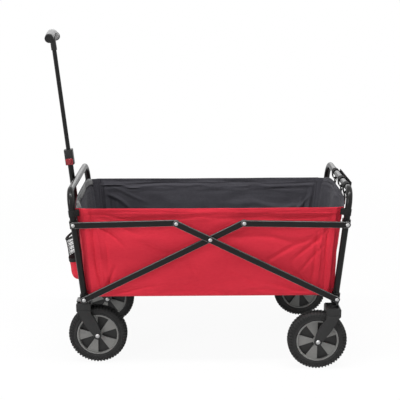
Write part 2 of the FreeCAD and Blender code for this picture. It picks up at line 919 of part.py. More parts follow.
def makeRim(label):
    """A moulded rim: hub, web and barrel turned in one, and five raised blades."""
    body = newBody(label)
    bore = s.axleRadius + s.runningGap
    hub = wellHalf - s.hubStand
    web = s.webThickness / 2
    inside = s.tyreSeat - s.rimBarrel
    edge = tyreHalf - s.rimEdge
    bead = tyreHalf - s.rimBead
    lip = s.tyreSeat + s.rimLip
    ease = s.rimChamfer
    section = newSketch(body, "XY_Plane")
    addOutline(
        section,
        [
            (bore, -hub), (s.hubRadius, -hub), (s.hubRadius, -web), (inside, -web),
            (inside + ease, -edge), (lip - ease, -edge), (lip, ease - edge), (lip, -bead),
            (s.tyreSeat, -bead), (s.tyreSeat, bead), (lip, bead), (lip, edge - ease),
            (lip - ease, edge), (inside + ease, edge),
            (inside, web), (s.hubRadius, web), (s.hubRadius, hub), (bore, hub),
        ],
    )
    turn(body, "Revolution", section, "Y_Axis")
    bladeCount = 5
    blade = newSketch(body, "XZ_Plane")
    root = s.hubRadius - s.bladeRoot
    outerX = s.bladeReach * cosine(s.bladeSweep)
    outerZ = s.bladeReach * sine(s.bladeSweep)
    innerX = root * cosine(s.bladeSweep)
    innerZ = root * sine(s.bladeSweep)
    addOutline(
        blade,
        [(-innerX, innerZ), (-outerX, outerZ), (-outerX, -outerZ), (-innerX, -innerZ)],
        {1: (s.bladeReach, 1)},
    )
    pad = extrude(body, "Pad", blade, s.bladeThickness)
    ring = body.newObject("PartDesign::PolarPattern", "blades")
    ring.Originals = [pad]
    ring.Axis = (originFeature(body, "Y_Axis"), [""])
    ring.Angle = 360
    ring.Occurrences = bladeCount
    body.Tip = ring
    return body


def makeAxle(label):
    """An axle bolt through a fork, with a dome at each end."""
    body = newBody(label)
    section = newSketch(body, "XY_Plane")
    dome = s.axleHeadHeight
    radius = (s.axleHeadRadius * s.axleHeadRadius + dome * dome) / (dome * 2)
    addOutline(
        section,
        [
            (0, -forkHalf - dome), (s.axleHeadRadius, -forkHalf),
            (s.axleRadius, -forkHalf), (s.axleRadius, forkHalf),
            (s.axleHeadRadius, forkHalf), (0, forkHalf + dome),
        ],
        {0: (radius, 1), 4: (radius, 1)},
    )
    turn(body, "Revolution", section, "Y_Axis")
    return body


def makeFork(label, trail, pinX, pinY, pinRadius, pinLean):
    """A moulded fork. Its origin is on the crown's axis at the height of the axle,
    and the axle lies trail away along +X. Two legs sweep down from a crown whose
    top is hollowed out round the boss that takes the pin."""
    body = newBody(label)
    top = crownTop - s.wheelRadius
    low = crownBottom - s.wheelRadius
    half = s.crownLength / 2
    chamfer = s.crownChamfer
    step = s.crownStep
    side = newSketch(body, "XZ_Plane")
    addOutline(
        side,
        [
            (-half, low + step), (-half, top - chamfer), (chamfer - half, top),
            (half - chamfer, top), (half, top - chamfer), (half, low - step / 3),
            (trail + s.legEnd, 0), (trail - s.legEnd, 0), (step - half, low),
        ],
        {5: (s.legBack, -1), 6: (None, -1), 7: (s.legFront, -1)},
    )
    extrude(body, "Pad", side, forkHalf * 2)
    well = newSketch(body, "YZ_Plane")
    roof = wellTop - s.wheelRadius
    addBox(well, -wellHalf, -s.wheelRadius, wellHalf, roof)
    extrude(body, "Pocket", well, s.wheelRadius * 4)
    bossRadius = pinRadius + s.bossWall
    recess = newSketch(body, "XY_Plane", top)
    rim = s.recessRim
    addBox(recess, rim - half, rim - forkHalf, half - rim, forkHalf - rim)
    addCircle(recess, pinX, pinY, bossRadius)
    extrude(body, "Pocket", recess, s.recessDepth, symmetric=False)
    groove = newSketch(body, "XZ_Plane", forkHalf)
    grooveTop = top - s.grooveDrop + s.grooveWidth / 2
    addBox(groove, -half * 2, grooveTop - s.grooveWidth, half * 2, grooveTop)
    cut = extrude(body, "Pocket", groove, s.grooveDepth, symmetric=False)
    mirror(body, [cut])
    bore = body.newObject("PartDesign::SubtractiveCylinder", "bore")
    bore.setExpression("Radius", asSize(pinRadius).text)
    bore.setExpression("Height", (crownTop - wellTop + s.boreSpare * 4).text)
    lean = FreeCAD.Rotation(FreeCAD.Vector(0, 1, 0), asSize(pinLean).value)
    start = FreeCAD.Vector(asSize(pinX).value, asSize(pinY).value, roof.value)
    bore.Placement = FreeCAD.Placement(
        start - lean.multVec(FreeCAD.Vector(0, 0, s.boreSpare.value)), lean
    )
    axleHole = newSketch(body, "XZ_Plane")
    addCircle(axleHole, trail, 0, s.axleRadius)
    extrude(body, "Pocket", axleHole, forkHalf * 3)
    return body


# Front casters: the swivel axes stand outside the cross tube's middle.
for side, name in ((-1, "near"), (1, "far")):
    swivelX = -(s.halfSpan + s.frontSwivelOffset)
    wheelX = swivelX + s.frontTrail
    fork = makeFork(
        "front_fork_" + name, s.frontTrail, asSize(0), asSize(0),
        s.kingpinRadius + s.runningGap, 0,
    )
    place(fork, swivelX, s.frontTrack * side, s.wheelRadius)
    for piece in (
        makeRim("front_rim_" + name),
        makeTyre("front_tyre_" + name),
        makeAxle("front_axle_" + name),
    ):
        place(piece, wheelX, s.frontTrack * side, s.wheelRadius)

mounts = newBody("caster_mounts")
plateSketch = newSketch(mounts, "XY_Plane", mountTop - s.casterPlate)
plateSketch.setExpression("AttachmentOffset.Base.y", (-s.frontTrack).text)
addRoundedBox(plateSketch, s.crownLength, s.crownLength, s.casterCorner)
plate = extrude(mounts, "Pad", plateSketch, s.casterPlate, symmetric=False)
washerSketch = newSketch(mounts, "XY_Plane", crownTop + s.seatGap)
addCircle(washerSketch, 0, -s.frontTrack, s.kingpinRadius + s.washerWall)
washer = extrude(
    mounts, "Pad", washerSketch, mountTop - crownTop - s.seatGap - s.casterPlate / 2,
    symmetric=False,
)
pinSketch = newSketch(mounts, "XY_Plane", wellTop - s.kingpinFoot)
addCircle(pinSketch, 0, -s.frontTrack, s.kingpinRadius)
kingpin = extrude(
    mounts, "Pad", pinSketch, mountTop - s.casterPlate / 2 - wellTop + s.kingpinFoot,
    symmetric=False,
)
nutSketch = newSketch(mounts, "XY_Plane", wellTop - s.seatGap)
nutRadius = s.kingpinRadius + s.nutWall
cornerX = nutRadius * cosine(asSize(30))
cornerY = nutRadius / 2
nutY = -s.frontTrack
addOutline(
    nutSketch,
    [
        (0, nutY - nutRadius), (cornerX, nutY - cornerY), (cornerX, nutY + cornerY),
        (0, nutY + nutRadius), (-cornerX, nutY + cornerY), (-cornerX, nutY - cornerY),
    ],
)
nut = extrude(mounts, "Pad", nutSketch, s.nutHeight, symmetric=False, flip=True)
mirror(mounts, [plate, washer, kingpin, nut])
placeOnEnd(mounts, -1, s.frontSwivelOffset, 0, -pivotHeight)

# Rear forks: each crown hangs on a neck that runs on down its post's axis.
neckRoom = wellTop - pivotHeight
neckShift = s.rearCrownSetback + neckRoom * sine(s.splayAngle) / cosine(s.splayAngle)
for side, name in ((-1, "near"), (1, "far")):
    fork = makeFork(
        "rear_fork_" + name, s.rearTrail, -neckShift,
        (s.rearTrack - s.postPlane) * side, s.neckRadius, -s.splayAngle,
    )
    crownX = s.halfSpan - s.rearCrownSetback
    place(fork, crownX, s.rearTrack * side, s.wheelRadius, (0, 0, 1), 180)
    for piece in (
        makeRim("rear_rim_" + name),
        makeTyre("rear_tyre_" + name),
        makeAxle("rear_axle_" + name),
    ):
        place(piece, crownX - s.rearTrail, s.rearTrack * side, s.wheelRadius)

necks = newBody("rear_fork_necks")
postFoot = -s.lowerSleeveHeight / 2
capSketch = newSketch(necks, "XY_Plane", postFoot)
capSketch.setExpression("AttachmentOffset.Base.y", (-s.postPlane).text)
addRoundedBox(capSketch, s.sleeveWidth, s.sleeveWidth, s.sleeveCorner)
cap = extrude(necks, "Pad", capSketch, s.neckCap, symmetric=False, flip=True)
shankSketch = newSketch(necks, "XY_Plane", postFoot)
addCircle(shankSketch, 0, -s.postPlane, s.neckRadius)
neckLength = (pivotHeight - wellTop) / cosine(s.splayAngle) + postFoot
neck = extrude(necks, "Pad", shankSketch, neckLength, symmetric=False, flip=True)
mirror(necks, [cap, neck])
placeOnEnd(necks, 1, lean=s.splayAngle)

# ---------------------------------------------------------------- pull handle

# The handle leans until its tube rests against the outside of the front rail.
handleRadius = s.handleTube / 2
pivotOut = s.handlePivotOut
railX = s.railRise.value * math.sin(math.radians(s.splayAngle.value)) - pivotOut.value
railZ = (
    s.railRise.value * math.cos(math.radians(s.splayAngle.value))
    + s.handlePivotDrop.value
)
standOff = frameRadius.value + handleRadius.value + s.seatGap.value
handleLean = math.degrees(
    math.atan2(railX, railZ) + math.asin(standOff / math.hypot(railX, railZ))
)
lowerTubeTop = s.collarBottom + (s.collarTop - s.collarBottom) / 2
innerRadius = s.innerTube / 2
buttonHeight = s.collarBottom + s.buttonRise


def placeOnHandle(body):
    placeOnEnd(
        body, -1, pivotOut, 0, -s.handlePivotDrop, lean=handleLean
    )


def makeTube(label, bottom, top, radius, wall):
    body = newBody(label)
    ring = newSketch(body, "XY_Plane", bottom)
    addCircle(ring, 0, 0, radius)
    addCircle(ring, 0, 0, radius - wall)
    extrude(body, "Pad", ring, top - bottom, symmetric=False)
    return body


lowerTube = makeTube(
    "handle_lower_tube", -s.handleFoot, lowerTubeTop, handleRadius, s.handleWall
)
pivotHole = newSketch(lowerTube, "XZ_Plane")
addCircle(pivotHole, 0, 0, rivetHole)
extrude(lowerTube, "Pocket", pivotHole, s.handleTube * 2)
placeOnHandle(lowerTube)

upperTube = makeTube(
    "handle_upper_tube", lowerTubeTop - s.tubeOverlap, s.handleReach, innerRadius,
    s.handleWall,
)
placeOnHandle(upperTube)

collar = newBody("handle_collar")
block = newSketch(collar, "XY_Plane", s.collarBottom)
addRoundedBox(block, s.collarWidth, s.collarDepth, s.collarCorner)
extrude(collar, "Pad", block, s.collarTop - s.collarBottom, symmetric=False)
seat = newSketch(collar, "XY_Plane", lowerTubeTop)
addCircle(seat, 0, 0, handleRadius)
extrude(collar, "Pocket", seat, s.collarTop, symmetric=False)
guide = newSketch(collar, "XY_Plane", s.collarBottom)
addCircle(guide, 0, 0, innerRadius + s.runningGap)
extrude(collar, "Pocket", guide, s.collarTop, symmetric=False, flip=True)
collarFace = s.collarDepth / 2
pressRoom = collarFace - handleRadius - s.pressWall
buttonWell = newSketch(collar, "XZ_Plane", -collarFace)
addCircle(buttonWell, 0, buttonHeight, s.buttonRadius + s.runningGap * 2)
extrude(collar, "Pocket", buttonWell, pressRoom, symmetric=False, flip=True)
placeOnHandle(collar)

bezel = newBody("button_bezel")
bezelPlate = newSketch(bezel, "XZ_Plane", -collarFace)
bezelPlate.setExpression("AttachmentOffset.Base.y", (buttonHeight - s.bezelDrop).text)
addRoundedBox(bezelPlate, s.collarWidth - s.bezelInset * 2, s.bezelHeight, s.bezelCorner)
extrude(bezel, "Pad", bezelPlate, s.bezelThickness, symmetric=False, flip=True)
bezelHole = newSketch(bezel, "XZ_Plane", -collarFace)
addCircle(bezelHole, 0, buttonHeight, s.buttonRadius + s.runningGap * 2)
extrude(bezel, "Pocket", bezelHole, s.bezelThickness * 4)
placeOnHandle(bezel)

button = newBody("push_button")
buttonFace = collarFace + s.bezelThickness + s.buttonStand
buttonBack = collarFace - pressRoom + s.buttonTravel + s.seatGap
buttonDisc = newSketch(button, "XZ_Plane", -buttonBack)
addCircle(buttonDisc, 0, buttonHeight, s.buttonRadius)
extrude(
    button, "Pad", buttonDisc, buttonFace - buttonBack, symmetric=False, flip=True
)
dressEdges(
    button, "Fillet", s.edgeRound,
    lambda edge: edge.BoundBox.YMin > buttonFace.value - 0.1,
)
placeOnHandle(button)

bracket = newBody("handle_bracket")
cheek = newSketch(bracket, "XZ_Plane", handleRadius + s.seatGap * 2 + s.yokePlate / 2)
pivotDrop = s.handlePivotDrop
ease = s.cheekEase
tubeFront = crossTubeHalf - crossTubeInset
tubeUnder = -s.crossTubeDrop - crossTubeHalf
addOutline(
    cheek,
    [
        (tubeFront - s.crossTube + ease, tubeUnder), (tubeFront, tubeUnder),
        (tubeFront, tubeUnder + s.crossTube - ease * 2),
        (pivotOut + s.cheekEnd, ease - pivotDrop), (pivotOut + s.cheekEnd, -pivotDrop),
        (pivotOut - s.cheekEnd, -pivotDrop),
    ],
    {4: (None, -1)},
)
cheekPad = extrude(bracket, "Pad", cheek, s.yokePlate)
mirrored = mirror(bracket, [cheekPad])
pivotBore = newSketch(bracket, "XZ_Plane")
addCircle(pivotBore, pivotOut, -pivotDrop, s.rivetRadius)
extrude(bracket, "Pocket", pivotBore, s.crossTube * 3)
placeOnEnd(bracket, -1)

bolt = newBody("handle_pivot_bolt")
boltHalf = handleRadius + s.seatGap * 2 + s.yokePlate
boltEnd = boltHalf + s.boltHead
headRadius = s.axleHeadRadius
headFace = headRadius - s.boltEase
headEdge = boltEnd - s.boltEase
boltSection = newSketch(bolt, "XY_Plane")
addOutline(
    boltSection,
    [
        (0, -boltEnd), (headFace, -boltEnd), (headRadius, -headEdge), (headRadius, -boltHalf),
        (s.rivetRadius, -boltHalf), (s.rivetRadius, boltHalf),
        (headRadius, boltHalf), (headRadius, headEdge), (headFace, boltEnd), (0, boltEnd),
    ],
)
turn(bolt, "Revolution", boltSection, "Y_Axis")
placeOnEnd(bolt, -1, pivotOut, 0, -pivotDrop)

# The grip bar bows upwards; its arc's centre is far below on the handle's axis.
gripRadius = s.gripDiameter / 2
bowRadius = (s.gripHalf * s.gripHalf + s.gripBow * s.gripBow) / (s.gripBow * 2)
bowAngle = 2 * math.degrees(math.asin(s.gripHalf.value / bowRadius.value))
capAngle = 2 * math.degrees(math.asin((s.gripHalf + s.gripCap).value / bowRadius.value))
neckBottom = s.handleReach - s.gripNeckSink


def sweepGrip(body, kind, radii, angle):
    """Sweeps circles of the given radii along the grip's arc."""
    section = newSketch(body, "XZ_Plane")
    for radius in radii:
        addCircle(section, 0, gripRise, radius)
    axis = section.addGeometry(
        Part.LineSegment(
            FreeCAD.Vector(-50, (gripRise - bowRadius).value, 0),
            FreeCAD.Vector(50, (gripRise - bowRadius).value, 0),
        ),
        True,
    )
    bindPoint(section, axis, 1, -50, gripRise - bowRadius)
    bindPoint(section, axis, 2, 50, gripRise - bowRadius)
    feature = body.newObject("PartDesign::" + kind, kind.lower())
    feature.Profile = section
    feature.ReferenceAxis = (section, ["Axis0"])
    feature.Midplane = True
    feature.Angle = angle
    return feature


core = newBody("grip_core")
sweepGrip(core, "Revolution", [gripRadius + s.gripCapRise], capAngle)
sweepGrip(core, "Groove", [gripRadius + s.gripCapRise * 2, s.gripCore], bowAngle)
doc.recompute()
neckLow = newSketch(core, "XY_Plane", neckBottom)
neckWidth = s.innerTube + s.gripNeckWall * 2
addRoundedBox(neckLow, neckWidth, neckWidth, innerRadius)
neckHigh = newSketch(core, "XY_Plane", gripRise - s.gripNeckWall)
addRoundedBox(neckHigh, s.gripCore * 2, s.gripNeckHalf * 2, s.gripCore * 0.6)
throat = core.newObject("PartDesign::AdditiveLoft", "throat")
throat.Profile = neckLow
throat.Sections = [neckHigh]
doc.recompute()
socket = newSketch(core, "XY_Plane", neckBottom)
addCircle(socket, 0, 0, innerRadius)
extrude(core, "Pocket", socket, s.handleReach - neckBottom, symmetric=False, flip=True)
placeOnHandle(core)

sleeve = newBody("grip_sleeve")
sweepGrip(sleeve, "Revolution", [gripRadius, s.gripCore], bowAngle)
notch = newSketch(sleeve, "XY_Plane", gripRise)
notchHalf = s.gripNeckHalf + s.seatGap
addBox(notch, -gripRadius * 2, -notchHalf, gripRadius * 2, notchHalf)
extrude(sleeve, "Pocket", notch, s.gripDiameter, symmetric=False)
placeOnHandle(sleeve)

# ---------------------------------------------------------------- output

doc.recompute()
for item in doc.Objects:
    if "Invalid" in item.State or "Error" in item.State:
        raise RuntimeError("%s did not compute: %s" % (item.Name, item.State))
os.makedirs("parts", exist_ok=True)
for part in parts:
    shape = part.Shape
    if shape.isNull() or not shape.isValid() or not shape.Solids:
        raise RuntimeError(part.Label + " has no valid solid")
    shape.exportStep("parts/%s.step" % part.Label)
    box = shape.BoundBox
    print(
        "%-22s %d solids %9.0f mm3  x %7.1f %7.1f  y %7.1f %7.1f  z %6.1f %6.1f"
        % (
            part.Label, len(shape.Solids), shape.Volume,
            box.XMin, box.XMax, box.YMin, box.YMax, box.ZMin, box.ZMax,
        )
    )
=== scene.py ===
import json
import math

import bmesh
import bpy
from mathutils import Matrix, Vector, noise
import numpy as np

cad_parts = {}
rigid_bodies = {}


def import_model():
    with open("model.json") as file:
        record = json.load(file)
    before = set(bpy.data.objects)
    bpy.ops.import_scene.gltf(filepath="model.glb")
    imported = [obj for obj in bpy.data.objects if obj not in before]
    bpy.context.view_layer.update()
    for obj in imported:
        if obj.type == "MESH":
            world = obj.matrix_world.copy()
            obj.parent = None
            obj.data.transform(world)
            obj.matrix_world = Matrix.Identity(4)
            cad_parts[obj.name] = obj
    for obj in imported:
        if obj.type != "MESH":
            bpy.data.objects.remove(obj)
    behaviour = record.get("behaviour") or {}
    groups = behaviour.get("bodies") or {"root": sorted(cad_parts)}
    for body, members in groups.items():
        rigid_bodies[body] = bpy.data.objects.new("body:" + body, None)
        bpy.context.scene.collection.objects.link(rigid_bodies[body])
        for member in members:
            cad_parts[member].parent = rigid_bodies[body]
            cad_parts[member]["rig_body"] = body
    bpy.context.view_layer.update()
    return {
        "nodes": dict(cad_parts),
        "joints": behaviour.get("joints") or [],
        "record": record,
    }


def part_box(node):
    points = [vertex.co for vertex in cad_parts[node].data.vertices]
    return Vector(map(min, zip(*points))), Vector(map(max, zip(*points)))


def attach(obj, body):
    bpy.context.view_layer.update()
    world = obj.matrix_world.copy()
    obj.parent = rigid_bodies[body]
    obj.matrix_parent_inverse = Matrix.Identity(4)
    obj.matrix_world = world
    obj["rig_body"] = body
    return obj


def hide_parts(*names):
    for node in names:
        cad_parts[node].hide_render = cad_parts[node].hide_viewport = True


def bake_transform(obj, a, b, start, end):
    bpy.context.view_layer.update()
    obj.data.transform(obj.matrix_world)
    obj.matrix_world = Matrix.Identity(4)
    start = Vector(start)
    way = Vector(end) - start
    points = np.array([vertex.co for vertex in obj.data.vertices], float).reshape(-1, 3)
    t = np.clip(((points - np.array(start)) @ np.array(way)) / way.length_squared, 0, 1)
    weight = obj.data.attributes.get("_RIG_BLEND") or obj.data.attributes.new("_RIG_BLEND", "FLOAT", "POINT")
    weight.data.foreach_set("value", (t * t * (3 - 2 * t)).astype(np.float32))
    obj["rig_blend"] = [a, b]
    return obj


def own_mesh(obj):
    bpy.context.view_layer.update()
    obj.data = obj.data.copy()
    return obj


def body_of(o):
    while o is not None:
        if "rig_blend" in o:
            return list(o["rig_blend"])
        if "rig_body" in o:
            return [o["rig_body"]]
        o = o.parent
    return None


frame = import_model()
nodes = frame["nodes"]
print("frame loaded:", len(nodes), "nodes")


# Places read from the frame, in metres

def findJoint(name):
    return next(joint for joint in frame["joints"] if joint["name"] == name)


def jointPlace(name):
    return Vector(findJoint(name)["pos_m"])


def middleOf(node):
    low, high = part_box(node)
    return (low + high) / 2


rearPin = jointPlace("fold")
frontPin = jointPlace("front_level")
crossPin = jointPlace("cross")
crossX = crossPin.x
nearLow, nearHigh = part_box("tub_near_panel")
rearLow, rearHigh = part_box("tub_rear_panel")
panelThickness = nearHigh.y - nearLow.y
bagTop, bagBottom = nearHigh.z, nearLow.z
crown = rearHigh.z - bagTop     # of an end's top edge, above the long sides
sideY = abs(middleOf("tub_near_panel").y)
endHalf = rearHigh.y
panelTopHalf = (nearHigh.x - nearLow.x) / 2
endTop = rearHigh.x - crossX - panelThickness / 2
endBottom = rearLow.x - crossX + panelThickness / 2
slope = (endTop - endBottom) / (rearHigh.z - rearLow.z)
panelBottomHalf = panelTopHalf - slope * (bagTop - bagBottom)

# the posts lean more than the cloth that hangs between them
upperPin = jointPlace("rear_link_turn")
postLean = math.atan2(upperPin.x - rearPin.x, upperPin.z - rearPin.z)
bagLean = math.atan(slope)

# How narrow the wagon folds, as a share of its open length
restAngle = math.atan2(crossPin.z - rearPin.z, rearPin.x - crossX)
foldAngle = restAngle + math.radians(max(findJoint("fold")["range_deg"]))


def endFrame(end, lean=postLean):
    # the leaning frame of an end: local X points outwards and Z runs up the posts
    pin = rearPin if end > 0 else frontPin
    spot = Matrix.Translation((pin.x, 0, pin.z))
    if end < 0:
        spot @= Matrix.Rotation(math.pi, 4, "Z")
    return spot @ Matrix.Rotation(lean, 4, "Y")


def localBox(node, place):
    back = place.inverted()
    points = [back @ vert.co for vert in nodes[node].data.vertices]
    low = Vector([min(point[i] for point in points) for i in range(3)])
    high = Vector([max(point[i] for point in points) for i in range(3)])
    return low, high


# Shader maths: a wrapped socket that takes Python's operators

class Wire:
    def __init__(self, paint, socket):
        self.paint = paint
        self.socket = socket

    def maths(self, operation, *others):
        values = dict(enumerate((self,) + others))
        return self.paint.node("ShaderNodeMath", {"operation": operation}, values)

    def __add__(self, other):
        return self.maths("ADD", other)

    def __sub__(self, other):
        return self.maths("SUBTRACT", other)

    def __mul__(self, other):
        return self.maths("MULTIPLY", other)

    def __truediv__(self, other):
        return self.maths("DIVIDE", other)

    def __rsub__(self, other):
        return self.paint.node("ShaderNodeMath", {"operation": "SUBTRACT"}, {0: other, 1: self})

    __radd__ = __add__
    __rmul__ = __mul__

    def sine(self):
        return self.maths("SINE")

    def size(self):
        return self.maths("ABSOLUTE")

    def largest(self, other):
        return self.maths("MAXIMUM", other)

    def least(self, other):
        return self.maths("MINIMUM", other)

    def step(self, start, finish):
        # rises smoothly from 0 at start to 1 at finish
        settings = {"interpolation_type": "SMOOTHSTEP"}
        return self.paint.node("ShaderNodeMapRange", settings, {0: self, 1: start, 2: finish})


class Paint:
    def __init__(self, name, world=False):
        self.owner = (bpy.data.worlds if world else bpy.data.materials).new(name)
        self.owner.use_nodes = True
        self.tree = self.owner.node_tree
        self.tree.nodes.clear()
        self.end = "ShaderNodeOutputWorld" if world else "ShaderNodeOutputMaterial"
        self.coords = None

    def node(self, kind, settings=None, values=None, output=0):
        made = self.tree.nodes.new(kind)
        for key, value in (settings or {}).items():
            setattr(made, key, value)
        for key, value in (values or {}).items():
            socket = made.inputs[key]
            if isinstance(value, Wire):
                self.tree.links.new(value.socket, socket)
            else:
                socket.default_value = value
        return None if output is None else Wire(self, made.outputs[output])

    def finish(self, shader):
        self.node(self.end, values={"Surface": shader}, output=None)
        return self.owner

    def place(self):
        if self.coords is None:
            self.coords = self.node("ShaderNodeTexCoord", output="Object")
        return self.coords

    def axes(self, vector=None):
        split = self.node("ShaderNodeSeparateXYZ", values={0: vector or self.place()})
        return [Wire(self, output) for output in split.socket.node.outputs]

    def cut(self):
        # where a point was on the flat cloth: metres along it, and down from its top edge
        return self.node("ShaderNodeUVMap", {"uv_map": "cut"})

    def mapped(self, scale, vector=None):
        return self.node("ShaderNodeMapping", values={"Vector": vector or self.place(), "Scale": scale})

    def noise(self, scale, detail=2.0, roughness=0.5, stretch=None):
        vector = self.mapped(stretch) if stretch else self.place()
        values = {"Vector": vector, "Scale": scale, "Detail": detail, "Roughness": roughness}
        return self.node("ShaderNodeTexNoise", values=values)

    def blend(self, factor, first, second):
        settings = {"data_type": "RGBA"}
        return self.node("ShaderNodeMix", settings, {0: factor, 6: first, 7: second}, output=2)

    def bump(self, height, strength, distance, normal=None):
        values = {"Height": height, "Strength": strength, "Distance": distance}
        if normal is not None:
            values["Normal"] = normal
        return self.node("ShaderNodeBump", values=values)

    def seenDirectly(self):
        # 1 for the camera's own rays and for what gloss and glass show of it
        kinds = ["Is Camera Ray", "Is Glossy Ray", "Is Transmission Ray"]
        rays = [self.node("ShaderNodeLightPath", output=kind) for kind in kinds]
        return rays[0].largest(rays[1]).largest(rays[2])

    def surface(self, values):
        return self.finish(self.node("ShaderNodeBsdfPrincipled", values=values))


def shade(value, alpha=1.0):
    # a grey or a colour as a screen shows it, from 0 to 255
    tones = value if isinstance(value, tuple) else (value,) * 3
    linear = [((tone / 255 + 0.055) / 1.055) ** 2.4 for tone in tones]
    return (*linear, alpha)


# Finishes

def paintPowderCoat():
    paint = Paint("powderCoat")
    peel = paint.noise(900, 1)
    drift = paint.noise(14, 3)
    chips = paint.noise(160, 4, 0.7).step(0.7, 0.76)
    # faces marked "edge" along the bars' rounded edges are painted light there: a painted highlight
    rubbed = paint.node("ShaderNodeAttribute", {"attribute_name": "edge"}, output="Fac")
    coat = paint.blend(chips * 0.4, paint.blend(drift, shade(9), shade(17)), shade(60))
    return paint.surface({
        "Base Color": paint.blend(rubbed * (drift * 0.5 + 0.2), coat, shade(165)),
        "Roughness": drift * 0.08 + 0.29,
        "Normal": paint.bump(peel, 0.1, 0.0002),
        "Specular IOR Level": 0.16,
        "Coat Weight": 0.14,
        "Coat Roughness": 0.08,
    })


def paintZinc():
    paint = Paint("zincPlate")
    streaks = paint.noise(220, 3, 0.6)
    return paint.surface({
        "Base Color": paint.blend(streaks, shade(158), shade(196)),
        "Metallic": 1.0,
        "Roughness": streaks * 0.16 + 0.34,
    })


def paintPlastic(name, dark, light, roughness, grain=1400, depth=0.00015, specular=0.25):
    paint = Paint(name)
    skin = paint.noise(grain, 2)
    drift = paint.noise(22, 3)
    return paint.surface({
        "Base Color": paint.blend(drift, shade(dark), shade(light)),
        "Roughness": drift * 0.12 + roughness,
        "Normal": paint.bump(skin, 0.25, depth),
        "Specular IOR Level": specular,
    })


def paintRim():
    # grey blades, with painted shade in the moulded recesses between them and a painted highlight on the rim's lip
    paint = Paint("rimPlastic")
    x, y, z = paint.axes()
    tracks = [abs(middleOf(node).y) for node in ("front_rim_near", "rear_rim_near")]
    depth = (y.size() - tracks[0]).size().least((y.size() - tracks[1]).size())
    raised = depth.step(0.0075, 0.0125)
    axles = [middleOf(node) for node in ("front_rim_near", "rear_rim_near")]
    away = ((x - axles[0].x).size().least((x - axles[1].x).size()))
    up = z - axles[0].z
    radius = (away * away + up * up).maths("SQRT")
    # a thin light ring on the rim's lip: a painted highlight
    lip = radius.step(0.0657, 0.0663) * depth.step(0.0135, 0.0145)
    grain = paint.noise(900, 2)
    drift = paint.noise(30, 3)
    face = paint.blend(drift, shade((112, 112, 110)), shade((128, 128, 126)))
    # the recesses between the blades are painted dark: painted shade
    paintedRecessShade = paint.blend(drift, shade(36), shade(50))
    bladesAndPaintedShade = paint.blend(raised, paintedRecessShade, face)
    return paint.surface({
        "Base Color": paint.blend(lip * 0.8, bladesAndPaintedShade, shade(180)),
        "Roughness": drift * 0.14 + 0.46,
        "Normal": paint.bump(grain, 0.3, 0.0002),
        "Specular IOR Level": 0.25,
    })


def paintTyre():
    paint = Paint("tyreRubber")
    skin = paint.noise(700, 3)
    dust = paint.noise(35, 4, 0.6)
    return paint.surface({
        "Base Color": paint.blend(dust, shade(34), shade(52)),
        "Roughness": dust * 0.15 + 0.66,
        "Normal": paint.bump(skin, 0.3, 0.0003),
        "Specular IOR Level": 0.2,
    })


cloth = {
    "pitch": 0.0011,        # of the plain weave
    "seam": 0.0185,         # of the hem's stitching, below the top edge
    "stitch": 0.0042,
    "thread": 0.0007,
}


def paintCloth(name, dark, light, stitched, sheen):
    # plain weave on the flat cloth, with two rows of stitching along the hem
    paint = Paint(name)
    along, down, spare = paint.axes(paint.cut())
    turns = 2 * math.pi / cloth["pitch"]
    threads = (along * turns).sine() * (down * turns).sine()
    slub = paint.noise(70, 4, 0.6, (1, 1, 3))
    crumple = paint.noise(30, 3, 0.55)
    tint = slub * 0.8 + threads * 0.08 + 0.06
    colour = paint.blend(tint, shade(dark), shade(light))
    dashes = (along * (2 * math.pi / cloth["stitch"])).sine().step(-0.4, 0.1)
    rows = 0
    for seam in (cloth["seam"], cloth["seam"] - 0.004):
        rows = rows + (1 - (down - seam).size().step(cloth["thread"] * 0.6, cloth["thread"]))
    sewn = rows * dashes
    soft = paint.bump(crumple, 0.3, 0.003)
    woven = paint.bump(threads, 0.45, 0.0002, soft)
    return paint.surface({
        "Base Color": paint.blend(sewn * 0.8, colour, shade(stitched)),
        "Roughness": slub * 0.1 + 0.74,
        "Normal": paint.bump(sewn, 0.6, 0.0006, woven),
        "Specular IOR Level": 0.2,
        "Sheen Weight": sheen,
        "Sheen Roughness": 0.4,
    })


def paintWebbing(name, dark, light):
    paint = Paint(name)
    x, y, z = paint.axes()
    ribs = ((x + z) * 2400).sine() * ((y + z) * 1500).sine()
    return paint.surface({
        "Base Color": paint.blend(ribs * 0.5 + 0.5, shade(dark), shade(light)),
        "Roughness": 0.75,
        "Normal": paint.bump(ribs, 0.6, 0.0004),
        "Specular IOR Level": 0.2,
    })


powderCoat = paintPowderCoat()
zincPlate = paintZinc()
forkPlastic = paintPlastic("forkPlastic", 36, 46, 0.44)
blackPlastic = paintPlastic("blackPlastic", 26, 38, 0.38)
gripGrey = paintPlastic("gripGrey", 128, 148, 0.5, 900)
redPlastic = paintPlastic("redPlastic", (120, 14, 26), (150, 24, 38), 0.22, 600, specular=0.5)
rimPlastic = paintRim()
tyreRubber = paintTyre()
redCloth = paintCloth("redCloth", (196, 32, 52), (213, 52, 68), (150, 22, 36), 0.06)
liningCloth = paintCloth("liningCloth", (62, 61, 67), (80, 79, 85), (44, 43, 48), 0.06)
webbingBlack = paintWebbing("webbingBlack", 20, 34)
webbingGrey = paintWebbing("webbingGrey", 118, 146)

finishes = {
    "frame_steel": powderCoat, "zinc": zincPlate, "fork_plastic": forkPlastic,
    "rim_plastic": rimPlastic, "tyre_rubber": tyreRubber, "red_fabric": redCloth,
    "floor_fabric": liningCloth, "webbing": webbingBlack, "black_plastic": blackPlastic,
    "grip_grey": gripGrey, "red_plastic": redPlastic,
}
slotOf = {part["node"]: part["material_slot"] for part in frame["record"]["subparts"]}
for node, name in slotOf.items():
    mesh = nodes[node].data
    mesh.materials.clear()
    mesh.materials.append(finishes[name])
print("finishes made")


# Making pieces

